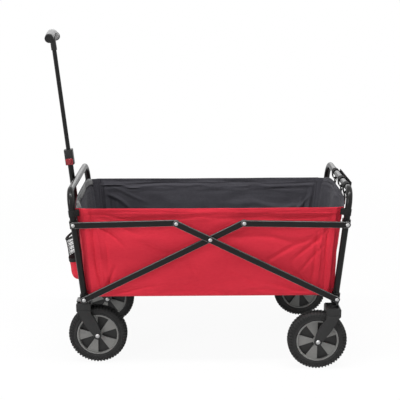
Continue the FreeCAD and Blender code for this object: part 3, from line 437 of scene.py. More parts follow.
def finishPiece(name, shape, body, materials, sharp=40):
    # a piece with no body is blended between two of them later
    mesh = bpy.data.meshes.new(name)
    shape.to_mesh(mesh)
    shape.free()
    for material in materials:
        mesh.materials.append(material)
    mesh.shade_smooth()
    mesh.set_sharp_from_angle(angle=math.radians(sharp))
    piece = bpy.data.objects.new(name, mesh)
    bpy.context.scene.collection.objects.link(piece)
    if body:
        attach(piece, body)
    return piece


def thicken(piece, thickness, lining=0, offset=-1.0):
    skin = piece.modifiers.new("thickness", "SOLIDIFY")
    skin.thickness = thickness
    skin.offset = offset
    skin.use_even_offset = True
    skin.material_offset = lining
    skin.material_offset_rim = lining
    return piece


def layOut(columns, rows, spot, flat=None, crowd=None):
    # a sheet of columns by rows: spot says where (0 to 1 across, 0 to 1 up) goes, flat says
    # where it lies on the cut cloth, and crowd packs the rows closer near an edge
    shape = bmesh.new()
    bmesh.ops.create_grid(shape, x_segments=columns, y_segments=rows, size=0.5)
    if crowd:
        for vert in shape.verts:
            vert.co.y = crowd(vert.co.y + 0.5) - 0.5
    if flat:
        layer = shape.loops.layers.uv.new("cut")
        for face in shape.faces:
            for loop in face.loops:
                co = loop.vert.co
                loop[layer].uv = flat(co.x + 0.5, co.y + 0.5)
    for vert in shape.verts:
        vert.co = spot(vert.co.x + 0.5, vert.co.y + 0.5)
    return shape


def sheetSize(shape):
    return sum(face.calc_area() for face in shape.faces)


def smooth(value):
    value = max(0.0, min(1.0, value))
    return value * value * (3 - 2 * value)


def alongPath(points, share):
    # a soft curve through the points, at a share of the way from first to last
    spot = share * (len(points) - 1)
    i = min(int(spot), len(points) - 2)
    t = spot - i
    a, b, c, d = [Vector(points[max(0, min(len(points) - 1, i + k))]) for k in (-1, 0, 1, 2)]
    return 0.5 * (2 * b + (c - a) * t + (2 * a - 5 * b + 4 * c - d) * t * t + (3 * b - a - 3 * c + d) * t ** 3)


def makeTubeAlong(name, points, radius, body, material, sides=8, steps=40, closed=False):
    # a thin round piece swept along a smooth path
    shape = bmesh.new()
    rings = []
    count = steps if closed else steps + 1
    for step in range(count):
        here = alongPath(points, step / steps)
        ahead = alongPath(points, min(1.0, step / steps + 0.01)) - alongPath(points, max(0.0, step / steps - 0.01))
        turn = ahead.normalized().to_track_quat("Z", "Y").to_matrix().to_4x4()
        made = bmesh.ops.create_circle(shape, segments=sides, radius=radius, matrix=Matrix.Translation(here) @ turn)
        rings.append([edge for edge in {e for v in made["verts"] for e in v.link_edges}])
    for first, second in zip(rings, rings[1:] + (rings[:1] if closed else [])):
        bmesh.ops.bridge_loops(shape, edges=first + second)
    if not closed:
        bmesh.ops.holes_fill(shape, edges=rings[0] + rings[-1])
    bmesh.ops.recalc_face_normals(shape, faces=shape.faces)
    return finishPiece(name, shape, body, [material])


# Hard pieces: the frame's own shapes with their edges eased, as a mould or press leaves them

eased = {
    "front_fork_near": 0.0016, "front_fork_far": 0.0016, "rear_fork_near": 0.0016, "rear_fork_far": 0.0016,
    "front_rim_near": 0.0008, "front_rim_far": 0.0008, "rear_rim_near": 0.0008, "rear_rim_far": 0.0008,
    "handle_collar": 0.0012, "button_bezel": 0.0005, "handle_bracket": 0.0006, "caster_mounts": 0.0006,
    "rear_post_sleeves": 0.0006, "front_post_sleeves": 0.0006,
    "rear_cross_tube": 0.0006, "front_cross_tube": 0.0006,
}


def standFor(node, shape):
    # a finished shape takes a node's place, body and finish
    words = node.split("_")
    name = words[0] + "".join(word.capitalize() for word in words[1:])
    body = body_of(nodes[node])[0]
    piece = finishPiece(name, shape, body, [finishes[slotOf[node]]], sharp=50)
    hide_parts(node)
    return piece


def easeEdges(node, width):
    shape = bmesh.new()
    shape.from_mesh(nodes[node].data)
    bmesh.ops.remove_doubles(shape, verts=shape.verts, dist=0.00001)
    bmesh.ops.dissolve_limit(shape, angle_limit=math.radians(1.5), verts=shape.verts, edges=shape.edges)
    hard = [
        edge for edge in shape.edges
        if len(edge.link_faces) == 2 and edge.calc_face_angle() > math.radians(38)
    ]
    bmesh.ops.bevel(
        shape, geom=hard, offset=width, offset_type="OFFSET", segments=3, profile=0.5,
        affect="EDGES", clamp_overlap=True, material=-1,
    )
    return standFor(node, shape)


for node, width in eased.items():
    easeEdges(node, width)
print("edges eased")


# The scissor's bars and links: flat tubes, pressed round about the pins at their ends

flatTube = {
    "half": 0.01,           # of its height, and the radius of its ends
    "bore": 0.0042,
    "edge": 0.0028,         # radius of the long edges
    "rubbed": (0.5, 0.87),  # how far an edge faces sideways where a highlight is painted along it
}


def makeFlatTube(node, pins):
    low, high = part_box(node)
    start = Vector((pins[0].x, (low.y + high.y) / 2, pins[0].z))
    along = Vector((pins[-1].x - pins[0].x, 0, pins[-1].z - pins[0].z))
    length = along.length
    along.normalize()
    place = Matrix((
        (along.x, 0, -along.z, start.x), (0, 1, 0, start.y), (along.z, 0, along.x, start.z), (0, 0, 0, 1),
    ))
    shape = bmesh.new()

    def outline(y, inset):
        # a long loop with a half circle about each end pin
        radius = flatTube["half"] - inset
        turns = [math.pi * (0.5 + step / 12) for step in range(13)]
        points = [Vector((radius * math.cos(a), y, radius * math.sin(a))) for a in turns]
        points += [Vector((length - point.x, y, -point.z)) for point in points]
        verts = [shape.verts.new(place @ point) for point in points]
        return [shape.edges.new(pair) for pair in zip(verts, verts[1:] + verts[:1])]

    def bores(y):
        rings = []
        for pin in pins:
            spot = Vector((pin.x - start.x, 0, pin.z - start.z)).dot(along)
            turn = place @ Matrix.Translation((spot, y, 0)) @ Matrix.Rotation(math.pi / 2, 4, "X")
            made = bmesh.ops.create_circle(shape, segments=24, radius=flatTube["bore"], matrix=turn)
            rings.append(list({edge for vert in made["verts"] for edge in vert.link_edges}))
        return rings

    half, edge = (high.y - low.y) / 2, flatTube["edge"]
    angles = [math.radians(30 * step) for step in range(4)]
    section = [(edge * (1 - math.cos(a)) - half, edge * (1 - math.sin(a))) for a in angles]
    section += [(-y, inset) for y, inset in reversed(section)]
    loops = [outline(y, inset) for y, inset in section]
    for first, second in zip(loops, loops[1:]):
        bmesh.ops.bridge_loops(shape, edges=first + second)
    nearBores, farBores = bores(-half), bores(half)
    for first, second in zip(nearBores, farBores):
        bmesh.ops.bridge_loops(shape, edges=first + second)
    for rim, holes in ((loops[0], nearBores), (loops[-1], farBores)):
        bmesh.ops.triangle_fill(shape, edges=rim + [edge for ring in holes for edge in ring], use_beauty=True)
    bmesh.ops.recalc_face_normals(shape, faces=shape.faces)
    # the middle faces of each rounded edge are marked for a painted highlight
    rubbed = shape.faces.layers.float.new("edge")
    for face in shape.faces:
        if flatTube["rubbed"][0] < abs(face.normal.y) < flatTube["rubbed"][1]:
            face[rubbed] = 1.0
    return standFor(node, shape)


rearHinge, frontHinge = middleOf("rear_hinge_rivets"), middleOf("front_hinge_rivets")
frontUpper = jointPlace("front_link_turn")
for side in ("near", "far"):
    makeFlatTube("rear_bar_" + side, [rearPin, crossPin, frontHinge])
    makeFlatTube("front_bar_" + side, [frontPin, crossPin, rearHinge])
    makeFlatTube("rear_link_" + side, [upperPin, rearHinge])
    makeFlatTube("front_link_" + side, [frontUpper, frontHinge])
print("scissor bars pressed")


# The bag: red cloth with a dark lining, sewn at its corners

bag = {
    "cloth": 0.0016,
    "hem": 0.021,           # height of the turned hem
    "hemStand": 0.0012,
    "roll": 0.0011,         # round-over of the hem's top edge
    "lift": 0.004,          # of an end's crown, above the frame's own panel
    "rearPull": 0.011,      # how far the straps draw an end's top edge outwards
    "frontPull": 0.005,
    "tuck": 0.006,          # how far the foot turns in under the floor
    "billow": 0.0042,
    "gapTop": 0.004,        # how far the long sides stay clear of the posts
    "gapBottom": 0.006,
    "seamLap": 0.009,       # of the ends' corners, inside the long sides
    "foot": 0.012,          # height of the turned-in foot
    "sideColumns": 200,
    "endColumns": 112,
    "rows": 72,
}
sideTopHalf = panelTopHalf - bag["gapTop"]
sideBottomHalf = panelBottomHalf - bag["gapBottom"]
bagHeight = bagTop - bagBottom


def crowdTop(v):
    # a quarter of the rows shape the hem
    return v / 0.75 * 0.9 if v < 0.75 else 0.9 + (v - 0.75) / 0.25 * 0.1


def crease(u, v, start, finish, width, depth):
    # a soft valley, or with a negative depth a ridge, that fades out at both its ends
    wander = noise.noise_vector(Vector((u * 9, v * 3.4, width * 200)))
    a, b, p = Vector(start), Vector(finish), Vector((u + wander.x * 0.012, v + wander.y * 0.05))
    along = max(0.0, min(1.0, (p - a).dot(b - a) / (b - a).length_squared))
    gap = p - (a + (b - a) * along)
    away = math.hypot(gap.x * 2.7, gap.y)
    return -depth * math.exp(-(away / width) ** 2) * math.sin(math.pi * (0.12 + 0.76 * along))


# lines from (0 to 1 along the wagon, 0 to 1 up), with a width and a depth in metres
sideCreases = [
    ((0.026, 0.99), (0.034, 0.02), 0.016, 0.0068),
    ((0.05, 0.8), (0.058, 0.03), 0.014, -0.0042),
    ((0.078, 0.74), (0.075, 0.02), 0.016, 0.0036),
    ((0.03, 0.8), (0.15, 0.6), 0.022, 0.0052),
    ((0.06, 0.88), (0.22, 0.7), 0.024, 0.0034),
    ((0.04, 0.02), (0.11, 0.34), 0.016, 0.006),
    ((0.055, 0.02), (0.18, 0.24), 0.02, 0.0046),
    ((0.06, 0.01), (0.3, 0.13), 0.022, 0.0036),
    ((0.0, 0.915), (0.3, 0.9), 0.016, 0.0034),
    ((0.02, 0.86), (0.36, 0.875), 0.016, 0.0026),
    ((0.3, 0.93), (0.62, 0.9), 0.018, 0.0024),
    ((0.976, 0.97), (0.972, 0.03), 0.015, 0.0066),
    ((0.953, 0.85), (0.945, 0.04), 0.014, -0.0044),
    ((0.93, 0.72), (0.925, 0.1), 0.014, 0.0034),
    ((0.97, 0.76), (0.84, 0.4), 0.024, 0.0052),
    ((0.96, 0.6), (0.87, 0.26), 0.018, 0.0046),
    ((0.9, 0.66), (0.72, 0.36), 0.034, 0.0042),
    ((0.965, 0.03), (0.83, 0.3), 0.02, 0.005),
    ((0.96, 0.02), (0.72, 0.16), 0.022, 0.0036),
    ((0.56, 0.68), (0.94, 0.63), 0.036, 0.0036),
    ((0.62, 0.915), (0.98, 0.88), 0.018, 0.0034),
    ((0.55, 0.86), (0.9, 0.84), 0.014, 0.002),
    ((0.1, 0.055), (0.92, 0.05), 0.02, 0.0034),
    ((0.34, 0.12), (0.62, 0.17), 0.034, 0.0034),
    ((0.4, 0.42), (0.46, 0.2), 0.034, 0.003),
    ((0.22, 0.62), (0.34, 0.5), 0.036, 0.0036),
    ((0.58, 0.3), (0.7, 0.12), 0.03, 0.0028),
]
# the short ends hang from their crowned top edge in soft folds that fan out downwards
endCreases = [
    ((0.1, 0.98), (0.04, 0.1), 0.13, 0.0085),
    ((0.3, 0.98), (0.24, 0.1), 0.2, -0.006),
    ((0.5, 0.98), (0.55, 0.25), 0.22, 0.0075),
    ((0.72, 0.98), (0.78, 0.1), 0.2, -0.006),
    ((0.9, 0.98), (0.96, 0.1), 0.13, 0.0085),
    ((0.06, 0.04), (0.94, 0.05), 0.06, 0.003),
]


def wallWaves(u, v, seed, creases, depth=1.0):
    pin = smooth(u * 26) * smooth((1 - u) * 26) * smooth(v * 16) * smooth((1 - v) * 14 + 0.2)
    roll = noise.noise(Vector((u * 5, v * 2.2, seed))) * bag["billow"]
    ripple = noise.noise(Vector((u * 15, v * 8, seed + 9))) * bag["billow"] * 0.4
    pull = noise.noise(Vector((u * 7, v * 40, seed + 5))) * 0.002 * smooth((v - 0.72) * 5)
    return pin * (roll + ripple + pull + depth * sum(crease(u, v, *line) for line in creases))


def edgeForm(below, above):
    # how far the doubled hem stands out, by the depth below the top edge, how its edge
    # rolls over, and how the foot turns in, by the height above the bottom edge
    hem = bag["hemStand"] * smooth((bag["hem"] - below) / 0.0022 + 0.5)
    over = max(0.0, 1 - below / bag["roll"])
    foot = max(0.0, 1 - above / bag["foot"])
    return hem - bag["roll"] * (1 - math.sqrt(1 - over * over * 0.96)) * 0.8 - bag["tuck"] * foot ** 2


def topWander(u):
    # the slack of a long top edge between its corners
    return 0.0022 * math.sin(math.pi * u) * (noise.noise(Vector((u * 4, 2.7, 0))) - 0.5)


def crownAt(across):
    # an end's top edge, 0 at its middle and 1 at a post: nearly level, then a quick drop
    return (crown + bag["lift"]) * (1 - min(1.0, across) ** 4)


def makeSide(name, side, seed, node, depth):
    # a long wall, from post to post
    def spot(u, v):
        top = bagTop + topWander(u)
        z = bagBottom + (top - bagBottom) * v
        half = sideBottomHalf + (sideTopHalf - sideBottomHalf) * v
        out = wallWaves(u, v, seed, sideCreases, depth) + edgeForm(top - z, z - bagBottom)
        return Vector((crossX + half * (2 * u - 1), side * (sideY - 0.001 + out), z))

    def flat(u, v):
        half = sideBottomHalf + (sideTopHalf - sideBottomHalf) * v
        return half * (2 * u - 1), bagHeight * (1 - v)

    shape = layOut(bag["sideColumns"], bag["rows"], spot, flat, crowdTop)
    if side > 0:
        bmesh.ops.reverse_faces(shape, faces=shape.faces)
    area = sheetSize(shape)
    wall = finishPiece(name, shape, "rear_end", [redCloth, liningCloth])
    thicken(wall, bag["cloth"], lining=1)
    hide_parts(node)
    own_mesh(wall)
    return wall


def makeEndWall(name, end, seed, node, pull):
    # a short wall: across the end, then round the post's inside into the long sides' seams
    body = "rear_end" if end > 0 else "front_end"
    turnX = (endTop + endBottom - sideTopHalf - sideBottomHalf) / 2
    inside = sideY - bag["cloth"] - 0.0016
    turn = math.hypot(turnX, inside - endHalf)
    girth = endHalf + turn + bag["seamLap"]

    def plan(s, v):
        # the reach and the distance from the middle, s along the cloth from its middle
        reach = endBottom + (endTop - endBottom) * v
        seam = sideBottomHalf + (sideTopHalf - sideBottomHalf) * v
        if s < endHalf:
            return reach, s, 0.0
        share = min(1.0, (s - endHalf) / turn)
        past = max(0.0, s - endHalf - turn)
        bow = 0.0045 * math.sin(math.pi * share)
        return reach + (seam - reach) * share - past - bow, endHalf + (inside - endHalf) * share, share

    def spot(u, v):
        s = girth * (2 * u - 1)
        across = abs(s) / endHalf
        top = bagTop + crownAt(across)
        z = bagBottom + (top - bagBottom) * v
        reach, y, corner = plan(abs(s), (z - bagBottom) / bagHeight)
        out = wallWaves(u, v, seed, endCreases) * (1 - corner)
        out += edgeForm(top - z, z - bagBottom) * (1 - corner)
        out += pull * max(0.0, 1 - across ** 4) * v ** 2
        return Vector((crossX + end * (reach + out), end * math.copysign(y, s), z))

    def flat(u, v):
        return girth * (2 * u - 1), bagHeight * (1 - v)

    def tapeSpot(u, v):
        # along the inside of the hem
        point = spot(0.5 + (u - 0.5) * 0.9, 1 - (bag["hem"] * (1 - v) + 0.0015) / bagHeight)
        return point - Vector((end * 0.0032, 0, 0))

    if end < 0:
        tape = finishPiece(name + "Tape", layOut(72, 4, tapeSpot), body, [webbingGrey])
        thicken(tape, 0.001, offset=0.0)
    shape = layOut(bag["endColumns"], bag["rows"], spot, flat, crowdTop)
    area = sheetSize(shape)
    wall = finishPiece(name, shape, body, [redCloth, liningCloth])
    thicken(wall, bag["cloth"], lining=1)
    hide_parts(node)
    return wall


makeSide("bagNearSide", -1, -5.0, "tub_near_panel", 1.05)
makeSide("bagFarSide", 1, 11.0, "tub_far_panel", 0.8)
makeEndWall("bagRearEnd", 1, 21.0, "tub_rear_panel", bag["rearPull"])
makeEndWall("bagFrontEnd", -1, 31.0, "tub_front_panel", bag["frontPull"])
print("bag walls hung")


# Loops of webbing that tie the bag's top corners to the posts

cornerTie = {
    "drop": 0.0025,         # of the loop's top edge below the long side's top edge
    "height": 0.02,
    "thick": 0.0014,
    "start": 0.011,         # past the end of the long side
    "tab": 0.024,           # how high a pull tab stands above the hem, and how wide it is
    "tabWidth": 0.011,
}


def makeCornerLoop(name, side, end):
    place = endFrame(end)
    low, high = localBox("rear_end_frame" if end > 0 else "front_end_frame", place)
    radius = (high.x - low.x) / 2 + cornerTie["thick"] * 0.6
    post = Vector((0, (high.y - (high.x - low.x) / 2) * side * end))
    corner = place.inverted() @ Vector((crossX + end * (sideTopHalf + cornerTie["start"]), side * (sideY - 0.0022), bagTop))
    top = corner.z - cornerTie["drop"]
    start = math.atan2(corner.y - post.y, corner.x - post.x)
    path = [(corner.x, corner.y + 0.001 * side * end)]
    for degrees in (68, 112, 158, 202, 248, 292):
        angle = start + math.radians(degrees) * side * end
        path.append((post.x + radius * math.cos(angle), post.y + radius * math.sin(angle)))
    path.append((corner.x, corner.y - 0.001 * side * end))

    def spot(u, v):
        point = alongPath([(x, y, 0) for x, y in path], v)
        slack = 0.001 * math.sin(math.pi * u) * smooth(abs(2 * v - 1) * 2 - 1)
        return place @ Vector((point.x, point.y, top - cornerTie["height"] * u - slack))

    body = "rear_end" if end > 0 else "front_end"
    tie = finishPiece(name, layOut(8, 60, spot), body, [webbingBlack])
    thicken(tie, cornerTie["thick"], offset=0.0)
    return tie


def makePullTab(name, side):
    # a short rounded tab of webbing that stands above a front corner, inside the post
    start = Vector((crossX - sideTopHalf - 0.006, side * (sideY - 0.012), bagTop - 0.006))

    def spot(u, v):
        width = cornerTie["tabWidth"] * (1 if v < 0.75 else math.sqrt(max(0.0, 1 - ((v - 0.75) * 4) ** 2)) * 0.9 + 0.1)
        lean = 0.004 * math.sin(v * 1.6)
        rise = (cornerTie["tab"] + 0.006) * v
        return start + Vector((width * (u - 0.5) - lean - rise * math.sin(postLean), side * lean, rise))

    tab = finishPiece(name, layOut(10, 24, spot), "front_end", [webbingGrey])
    thicken(tab, 0.0022, offset=0.0)
    return tab


makePullTab("pullTab", -1)
for side, sideName in ((-1, "Near"), (1, "Far")):
    for end, endName in ((1, "Rear"), (-1, "Front")):
        makeCornerLoop("cornerLoop" + sideName + endName, side, end)
print("corners tied")


# The floor: two padded boards, and the lining that bridges them

floorPad = {"edge": 0.003, "lap": 0.006, "droop": 0.004, "sideGap": 0.0065}


def makeFloorPad(name, node, body):
    low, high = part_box(node)
    place = Matrix.Translation((low + high) / 2) @ Matrix.Diagonal((*(high - low), 1))
    shape = bmesh.new()
    bmesh.ops.create_cube(shape, size=1, matrix=place)
    bmesh.ops.bevel(
        shape, geom=list(shape.edges), offset=floorPad["edge"], offset_type="OFFSET",
        segments=3, profile=0.5, affect="EDGES", material=-1,
    )
    layer = shape.loops.layers.uv.new("cut")
    for face in shape.faces:
        for loop in face.loops:
            loop[layer].uv = loop.vert.co.x, loop.vert.co.y
    pad = finishPiece(name, shape, body, [liningCloth])
    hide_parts(node)
    return pad


makeFloorPad("floorPadRear", "rear_floor_panel", "rear_floor")
makeFloorPad("floorPadFront", "front_floor_panel", "front_floor")
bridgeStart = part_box("front_floor_panel")[1]
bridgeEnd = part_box("rear_floor_panel")[0]
bridgeLength = bridgeEnd.x - bridgeStart.x + 2 * floorPad["lap"]
bridgeHalf = sideY - floorPad["sideGap"]


def bridgeSpot(u, v):
    x = bridgeStart.x - floorPad["lap"] + bridgeLength * u
    droop = floorPad["droop"] * math.sin(math.pi * u)
    return Vector((x, bridgeHalf * (2 * v - 1), bridgeStart.z + 0.0012 - droop))


def bridgeFlat(u, v):
    return bridgeLength * u, 2 * bridgeHalf * v


shape = layOut(16, 60, bridgeSpot, bridgeFlat)
area = sheetSize(shape)
bridge = finishPiece("floorBridge", shape, "rear_floor", [liningCloth])
thicken(bridge, 0.0012)
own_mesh(bridge)


def makeFloorEnd(name, end):
    # the lining between a pad's outer edge and the foot of its end wall
    word = "rear" if end > 0 else "front"
    low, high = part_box(word + "_floor_panel")
    edge = high.x if end > 0 else low.x
    turn = jointPlace(word + "_floor_turn")
    start = edge - end * floorPad["lap"]
    wallX = crossX + end * (endBottom + slope * (high.z - bagBottom) - bag["cloth"])
    length = abs(wallX - start)

    def spot(u, v):
        droop = floorPad["droop"] * 0.4 * math.sin(math.pi * u) ** 2
        return Vector((start + end * length * u, bridgeHalf * (2 * v - 1) * end, high.z + 0.001 - droop))

    def flat(u, v):
        return length * u, 2 * bridgeHalf * v

    shape = layOut(20, 60, spot, flat)
    area = sheetSize(shape)
    strip = finishPiece(name, shape, None, [liningCloth])
    thicken(strip, 0.0012)
    flatSize = (length * 1.02, 2 * bridgeHalf)
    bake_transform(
        strip, word + "_end", word + "_floor",
        start=(turn.x + end * 0.009, 0, high.z), end=(turn.x - end * 0.009, 0, high.z),
    )
    return strip


makeFloorEnd("floorEndRear", 1)
makeFloorEnd("floorEndFront", -1)
print("floor laid")


# Cup pockets: a red pouch, a black net above it, a black band and a stiff rim

cup = {
    "band": 0.112,          # heights above the lower pivots, along the panel
    "bandHeight": 0.012,
    "bandTilt": 0.008,
    "rimTilt": 0.022,
    "rimRadius": 0.0036,
    "netPitch": 0.0105,
    "netCord": 0.0011,
    "round": 0.022,         # of the pouch's foot
    "cloth": 0.0014,
}


def makeCup(name, node, side):
    place = endFrame(-1, bagLean)
    low, high = localBox(node, place)
    middle = (low.y + high.y) / 2
    half = (high.y - low.y) / 2
    depth = high.x - low.x
    bottom, top = low.z, high.z

    def shelf(angle, z, swell=1.0):
        # a point of the D-shaped outline at a height: flat behind, bowed in front
        share = (z - bottom) / (top - bottom)
        narrow = (0.82 + 0.18 * share) * swell
        x = low.x + 0.001 + (depth - 0.002) * narrow * math.cos(angle) ** 0.75
        y = middle + half * (0.88 + 0.12 * share) * swell * math.sin(angle)
        return Vector((x, y, z))

    def turn(u):
        return (u - 0.5) * math.pi * 0.998

    def bandAt(angle):
        return cup["band"] - cup["bandTilt"] * math.cos(angle)

    def pouchSpot(u, v):
        angle = turn(u)
        z = bottom + (bandAt(angle) + 0.004 - bottom) * v
        foot = min(1.0, (z - bottom) / cup["round"])
        swell = 0.62 + 0.38 * math.sqrt(max(0.0, 1 - (1 - foot) ** 2))
        puff = 1 + 0.02 * noise.noise(Vector((u * 5, v * 4, side)))
        return place @ shelf(angle, z, swell * puff * 0.985)

    def netSpot(u, v):
        angle = turn(u)
        start = bandAt(angle)
        finish = top - 0.002 - cup["rimTilt"] * math.cos(angle)
        return place @ shelf(angle, start + (finish - start) * v, 0.965 + 0.03 * abs(2 * v - 1))

    def bandSpot(u, v):
        angle = turn(u)
        z = bandAt(angle) + cup["bandHeight"] * (v - 0.35)
        return place @ shelf(angle, z, 0.995)

    around, height = 0.13, bandAt(0) - bottom
    shape = layOut(40, 20, pouchSpot, lambda u, v: (around * u, height * (1 - v) + 0.03))
    foot = [edge for edge in shape.edges if edge.is_boundary and max(vert.co.z for vert in edge.verts) < (place @ Vector((0, 0, bottom + 0.002))).z]
    bmesh.ops.holes_fill(shape, edges=foot)
    pouch = finishPiece(name + "Pouch", shape, "front_end", [redCloth, liningCloth])
    thicken(pouch, cup["cloth"], lining=1)
    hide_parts(node)

    columns = int(around / cup["netPitch"])
    shape = layOut(columns, 6, netSpot)
    bmesh.ops.triangulate(shape, faces=shape.faces)
    bmesh.ops.wireframe(
        shape, faces=shape.faces, thickness=cup["netCord"], use_replace=True, use_boundary=True, use_even_offset=True,
    )
    net = finishPiece(name + "Net", shape, "front_end", [webbingBlack])
    shape = layOut(40, 3, bandSpot)
    band = finishPiece(name + "Band", shape, "front_end", [webbingBlack])
    thicken(band, 0.0018, offset=1.0)
    rimPath = []
    for step in range(25):
        angle = turn(step / 24)
        z = top - 0.003 - cup["rimTilt"] * math.cos(angle)
        rimPath.append(place @ shelf(angle, z, 0.97))
    rim = makeTubeAlong(name + "Rim", rimPath, cup["rimRadius"], "front_end", webbingBlack)
    return pouch


makeCup("cupNear", "cup_pocket_near", 1)
makeCup("cupFar", "cup_pocket_far", -1)
print("cups sewn")


# Webbing on the rear rail: bands that hang the panel, and slack grab straps between them

strap = {
    "places": (-0.158, -0.064, 0.064),
    "width": 0.03,
    "thick": 0.0017,
    "wrap": 0.0012,
    "bow": 0.0062,
    "patch": 0.018,         # how far a band is sewn down the panel
    "ring": 0.0075,
    "ringWire": 0.0011,
}


def findRail(end):
    # the rail's middle and radius, in the leaning frame of its end
    place = endFrame(end)
    node = "rear_end_frame" if end > 0 else "front_end_frame"
    low, high = localBox(node, place)
    radius = (high.x - low.x) / 2
    return place, radius, high.z - radius


def panelTopAt(y):
    # the rear panel's top edge in the leaning frame of its posts
    across = min(1.0, abs(y) / endHalf)
    rise = crownAt(across)
    reach = endBottom + (endTop - endBottom) * (bagHeight + rise) / bagHeight
    reach += bag["rearPull"] * (1 - across ** 4)
    return endFrame(1).inverted() @ Vector((crossX + reach, y, bagTop + rise))


def makeBand(name, y):
    # webbing sewn to the panel, up round the rail and back to its own ring
    place, radius, rise = findRail(1)
    r = radius + strap["wrap"]
    top = panelTopAt(y)
    down = Vector((math.sin(postLean - bagLean), 0, -math.cos(postLean - bagLean))) * strap["patch"]
    out = strap["thick"] + 0.0006
    knot = (top.x + 0.001, 0, top.z + 0.008)
    path = [
        (top.x + down.x + out, 0, top.z + down.z), (top.x + out, 0, top.z - 0.004), knot,
        (-r * 0.72, 0, rise - r * 1.5), (-r * 1.02, 0, rise), (-r * 0.72, 0, rise + r * 0.72),
        (0, 0, rise + r * 1.02), (r * 0.72, 0, rise + r * 0.72), (r * 1.02, 0, rise),
        (r * 0.6, 0, rise - r * 1.3), (-r * 0.1, 0, rise - r * 1.9), (knot[0] + 0.004, 0, knot[2] + 0.004),
    ]

    def spot(u, v):
        return place @ (alongPath(path, v) + Vector((0, y + strap["width"] * (u - 0.5), 0)))

    band = finishPiece(name, layOut(8, 96, spot), "rear_end", [webbingBlack])
    thicken(band, strap["thick"], offset=0.0)
    middle = Vector((knot[0] + 0.002, y, knot[2]))
    turns = [2 * math.pi * step / 12 for step in range(13)]
    hoop = [place @ (middle + Vector((0, math.cos(a) * strap["width"] * 0.55, math.sin(a) * strap["ring"]))) for a in turns]
    makeTubeAlong(name + "Ring", hoop, strap["ringWire"], "rear_end", zincPlate, steps=48, closed=True)
    return band


def makeBow(name, start, finish):
    place, radius, rise = findRail(1)
    inside = radius + strap["thick"] * 1.6

    def spot(u, v):
        x = inside + strap["bow"] * math.sin(math.pi * v) ** 0.7
        sag = 0.005 * math.sin(math.pi * v)
        return place @ Vector((x, start + (finish - start) * v, rise + strap["width"] * (u - 0.5) * 0.8 - sag))

    bow = finishPiece(name, layOut(6, 48, spot), "rear_end", [webbingBlack])
    thicken(bow, strap["thick"], offset=0.0)
    return bow


bands = [makeBand("railBand%d" % number, y) for number, y in enumerate(strap["places"])]
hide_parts("rear_rail_straps")
makeBow("grabStrapMiddle", strap["places"][1], strap["places"][2])
makeBow("grabStrapNear", strap["places"][0], strap["places"][1])
print("rail strapped")


# Tyres with a blocked tread

tread = {
    "depth": 0.003,
    "columns": 112,
    "gutter": 0.0012,
}


def makeTyre(name, node, body):
    low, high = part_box(node)
    centre = (low + high) / 2
    half, crown = (high.y - low.y) / 2, (high.z - low.z) / 2
    rimLow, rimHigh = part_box(node.replace("tyre", "rim"))
    lip = (rimHigh.z - rimLow.z) / 2
    ground = crown - tread["depth"]
    wall = half - tread["depth"] * 0.5
    bend = 0.009
    # one side of the section, from the bead out to the middle of the tread
    section = [
        (lip - 0.0015, half - 0.0035), (lip + 0.0015, half - 0.0012), (lip + 0.004, half),
        (lip + 0.0055, half), (lip + 0.0075, wall), (ground - bend - 0.002, wall),
    ]
    for step in range(1, 4):
        turn = step / 3 * math.pi / 2
        section.append((ground - bend + bend * math.sin(turn), wall - bend * (1 - math.cos(turn))))
    inner = wall - bend
    section += [(ground, inner - tread["gutter"]), (ground, tread["gutter"] / 2)]
    shape = bmesh.new()
    profile = [(radius, -across) for radius, across in section] + [pair for pair in reversed(section)]
    verts = [shape.verts.new((radius, across, 0)) for radius, across in profile]
    edges = [shape.edges.new(pair) for pair in zip(verts, verts[1:])]
    bmesh.ops.spin(
        shape, geom=verts + edges, cent=(0, 0, 0), axis=(0, 1, 0), angle=2 * math.pi,
        steps=tread["columns"], use_merge=True,
    )
    bmesh.ops.remove_doubles(shape, verts=shape.verts, dist=0.00001)
    bmesh.ops.recalc_face_normals(shape, faces=shape.faces)
    shoulders, middles = [], []
    for face in shape.faces:
        spot = face.calc_center_median()
        radius = math.hypot(spot.x, spot.z)
        column = int((math.atan2(spot.z, spot.x) / (2 * math.pi) + 1) * tread["columns"] + 0.01)
        across = abs(spot.y)
        if radius > ground - bend and across > inner:
            if column % 2:
                shoulders.append(face)
        elif radius > ground - 0.001 and tread["gutter"] < across < inner - tread["gutter"]:
            if (column + (spot.y < 0)) % 2 == 0:
                middles.append(face)
    lift = tread["depth"] * 0.94
    bmesh.ops.inset_individual(shape, faces=middles, thickness=0.0004, depth=lift)
    bmesh.ops.inset_region(shape, faces=shoulders, thickness=0.0003, depth=lift, use_even_offset=True)
    bmesh.ops.translate(shape, verts=shape.verts, vec=centre)
    tyre = finishPiece(name, shape, body, [tyreRubber], sharp=30)
    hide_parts(node)
    return tyre


for end in ("front", "rear"):
    for side in ("near", "far"):
        makeTyre(end + "Tyre" + side.capitalize(), f"{end}_tyre_{side}", f"{end}_wheel_{side}")
print("tyres moulded")


# Light, floor and camera

def aimAt(thing, target):
    thing.rotation_mode = "QUATERNION"
    thing.rotation_quaternion = (Vector(target) - thing.location).to_track_quat("-Z", "Y")


def addLamp(name, place, size, power, target):
    light = bpy.data.lights.new(name, "AREA")
    light.shape = "RECTANGLE"
    light.size, light.size_y = size
    light.energy = power
    lamp = bpy.data.objects.new(name, light)
    bpy.context.scene.collection.objects.link(lamp)
    lamp.location = place
    aimAt(lamp, target)
    return lamp


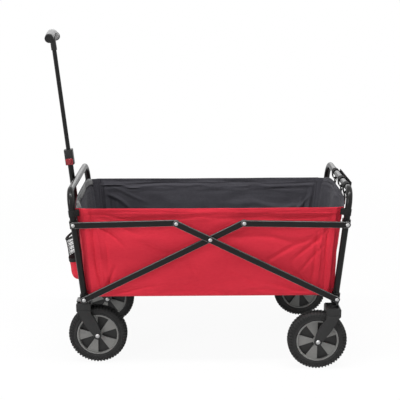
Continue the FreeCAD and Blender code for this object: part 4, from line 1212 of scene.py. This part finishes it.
middle = (crossX, 0, 0.4)
addLamp("topStrip", (crossX, -0.8, 3.2), (3.2, 0.35), 92, middle)
addLamp("frontSoftbox", (crossX - 2.6, -2.7, 1.9), (1.8, 1.6), 50, middle)
addLamp("sideSoftbox", (crossX + 3.2, -1.6, 1.6), (1.6, 1.6), 4, middle)
backStrip = addLamp("backStrip", (crossX, 4.2, 1.9), (3.6, 1.0), 26, middle)
backStrip.visible_camera = False


def lightWorld():
    paint = Paint("studio", world=True)
    white = (1, 1, 1, 1)
    around = paint.node("ShaderNodeBackground", values={"Color": white, "Strength": 0.42})
    backdrop = paint.node("ShaderNodeBackground", values={"Color": white, "Strength": 1.0})
    mixed = paint.node("ShaderNodeMixShader", values={0: paint.seenDirectly(), 1: around, 2: backdrop})
    bpy.context.scene.world = paint.finish(mixed)


def layGround():
    shape = bmesh.new()
    bmesh.ops.create_grid(shape, x_segments=1, y_segments=1, size=40)
    mesh = bpy.data.meshes.new("ground")
    shape.to_mesh(mesh)
    shape.free()
    ground = bpy.data.objects.new("ground", mesh)
    bpy.context.scene.collection.objects.link(ground)
    paint = Paint("groundPale")
    matte = paint.node("ShaderNodeBsdfDiffuse", values={"Color": (0.85, 0.85, 0.85, 1)})
    glow = paint.node("ShaderNodeEmission", values={"Color": (1, 1, 1, 1), "Strength": 1.0})
    x, y, z = paint.axes()
    far = (x * x + y * y).maths("SQRT").step(0.9, 3.2)
    shown = paint.seenDirectly() * (far * 0.06 + 0.94)
    mixed = paint.node("ShaderNodeMixShader", values={0: shown, 1: matte, 2: glow})
    mesh.materials.append(paint.finish(mixed))


lightWorld()
layGround()

lens = {"place": (-0.0529, -2.9965, 1.1794), "down": 12.95, "aside": -0.458, "roll": -0.217, "length": 83.25}
eye = bpy.data.cameras.new("eye")
eye.lens = lens["length"]
eye.sensor_width = 36
camera = bpy.data.objects.new("camera", eye)
bpy.context.scene.collection.objects.link(camera)
camera.matrix_world = (
    Matrix.Translation(Vector(lens["place"]) + Vector((crossX, 0, 0)))
    @ Matrix.Rotation(math.radians(lens["aside"]), 4, "Z")
    @ Matrix.Rotation(math.radians(90 - lens["down"]), 4, "X")
    @ Matrix.Rotation(math.radians(lens["roll"]), 4, "Z")
)
bpy.context.scene.camera = camera
bpy.context.scene.view_settings.view_transform = "Standard"
print("light and camera set")
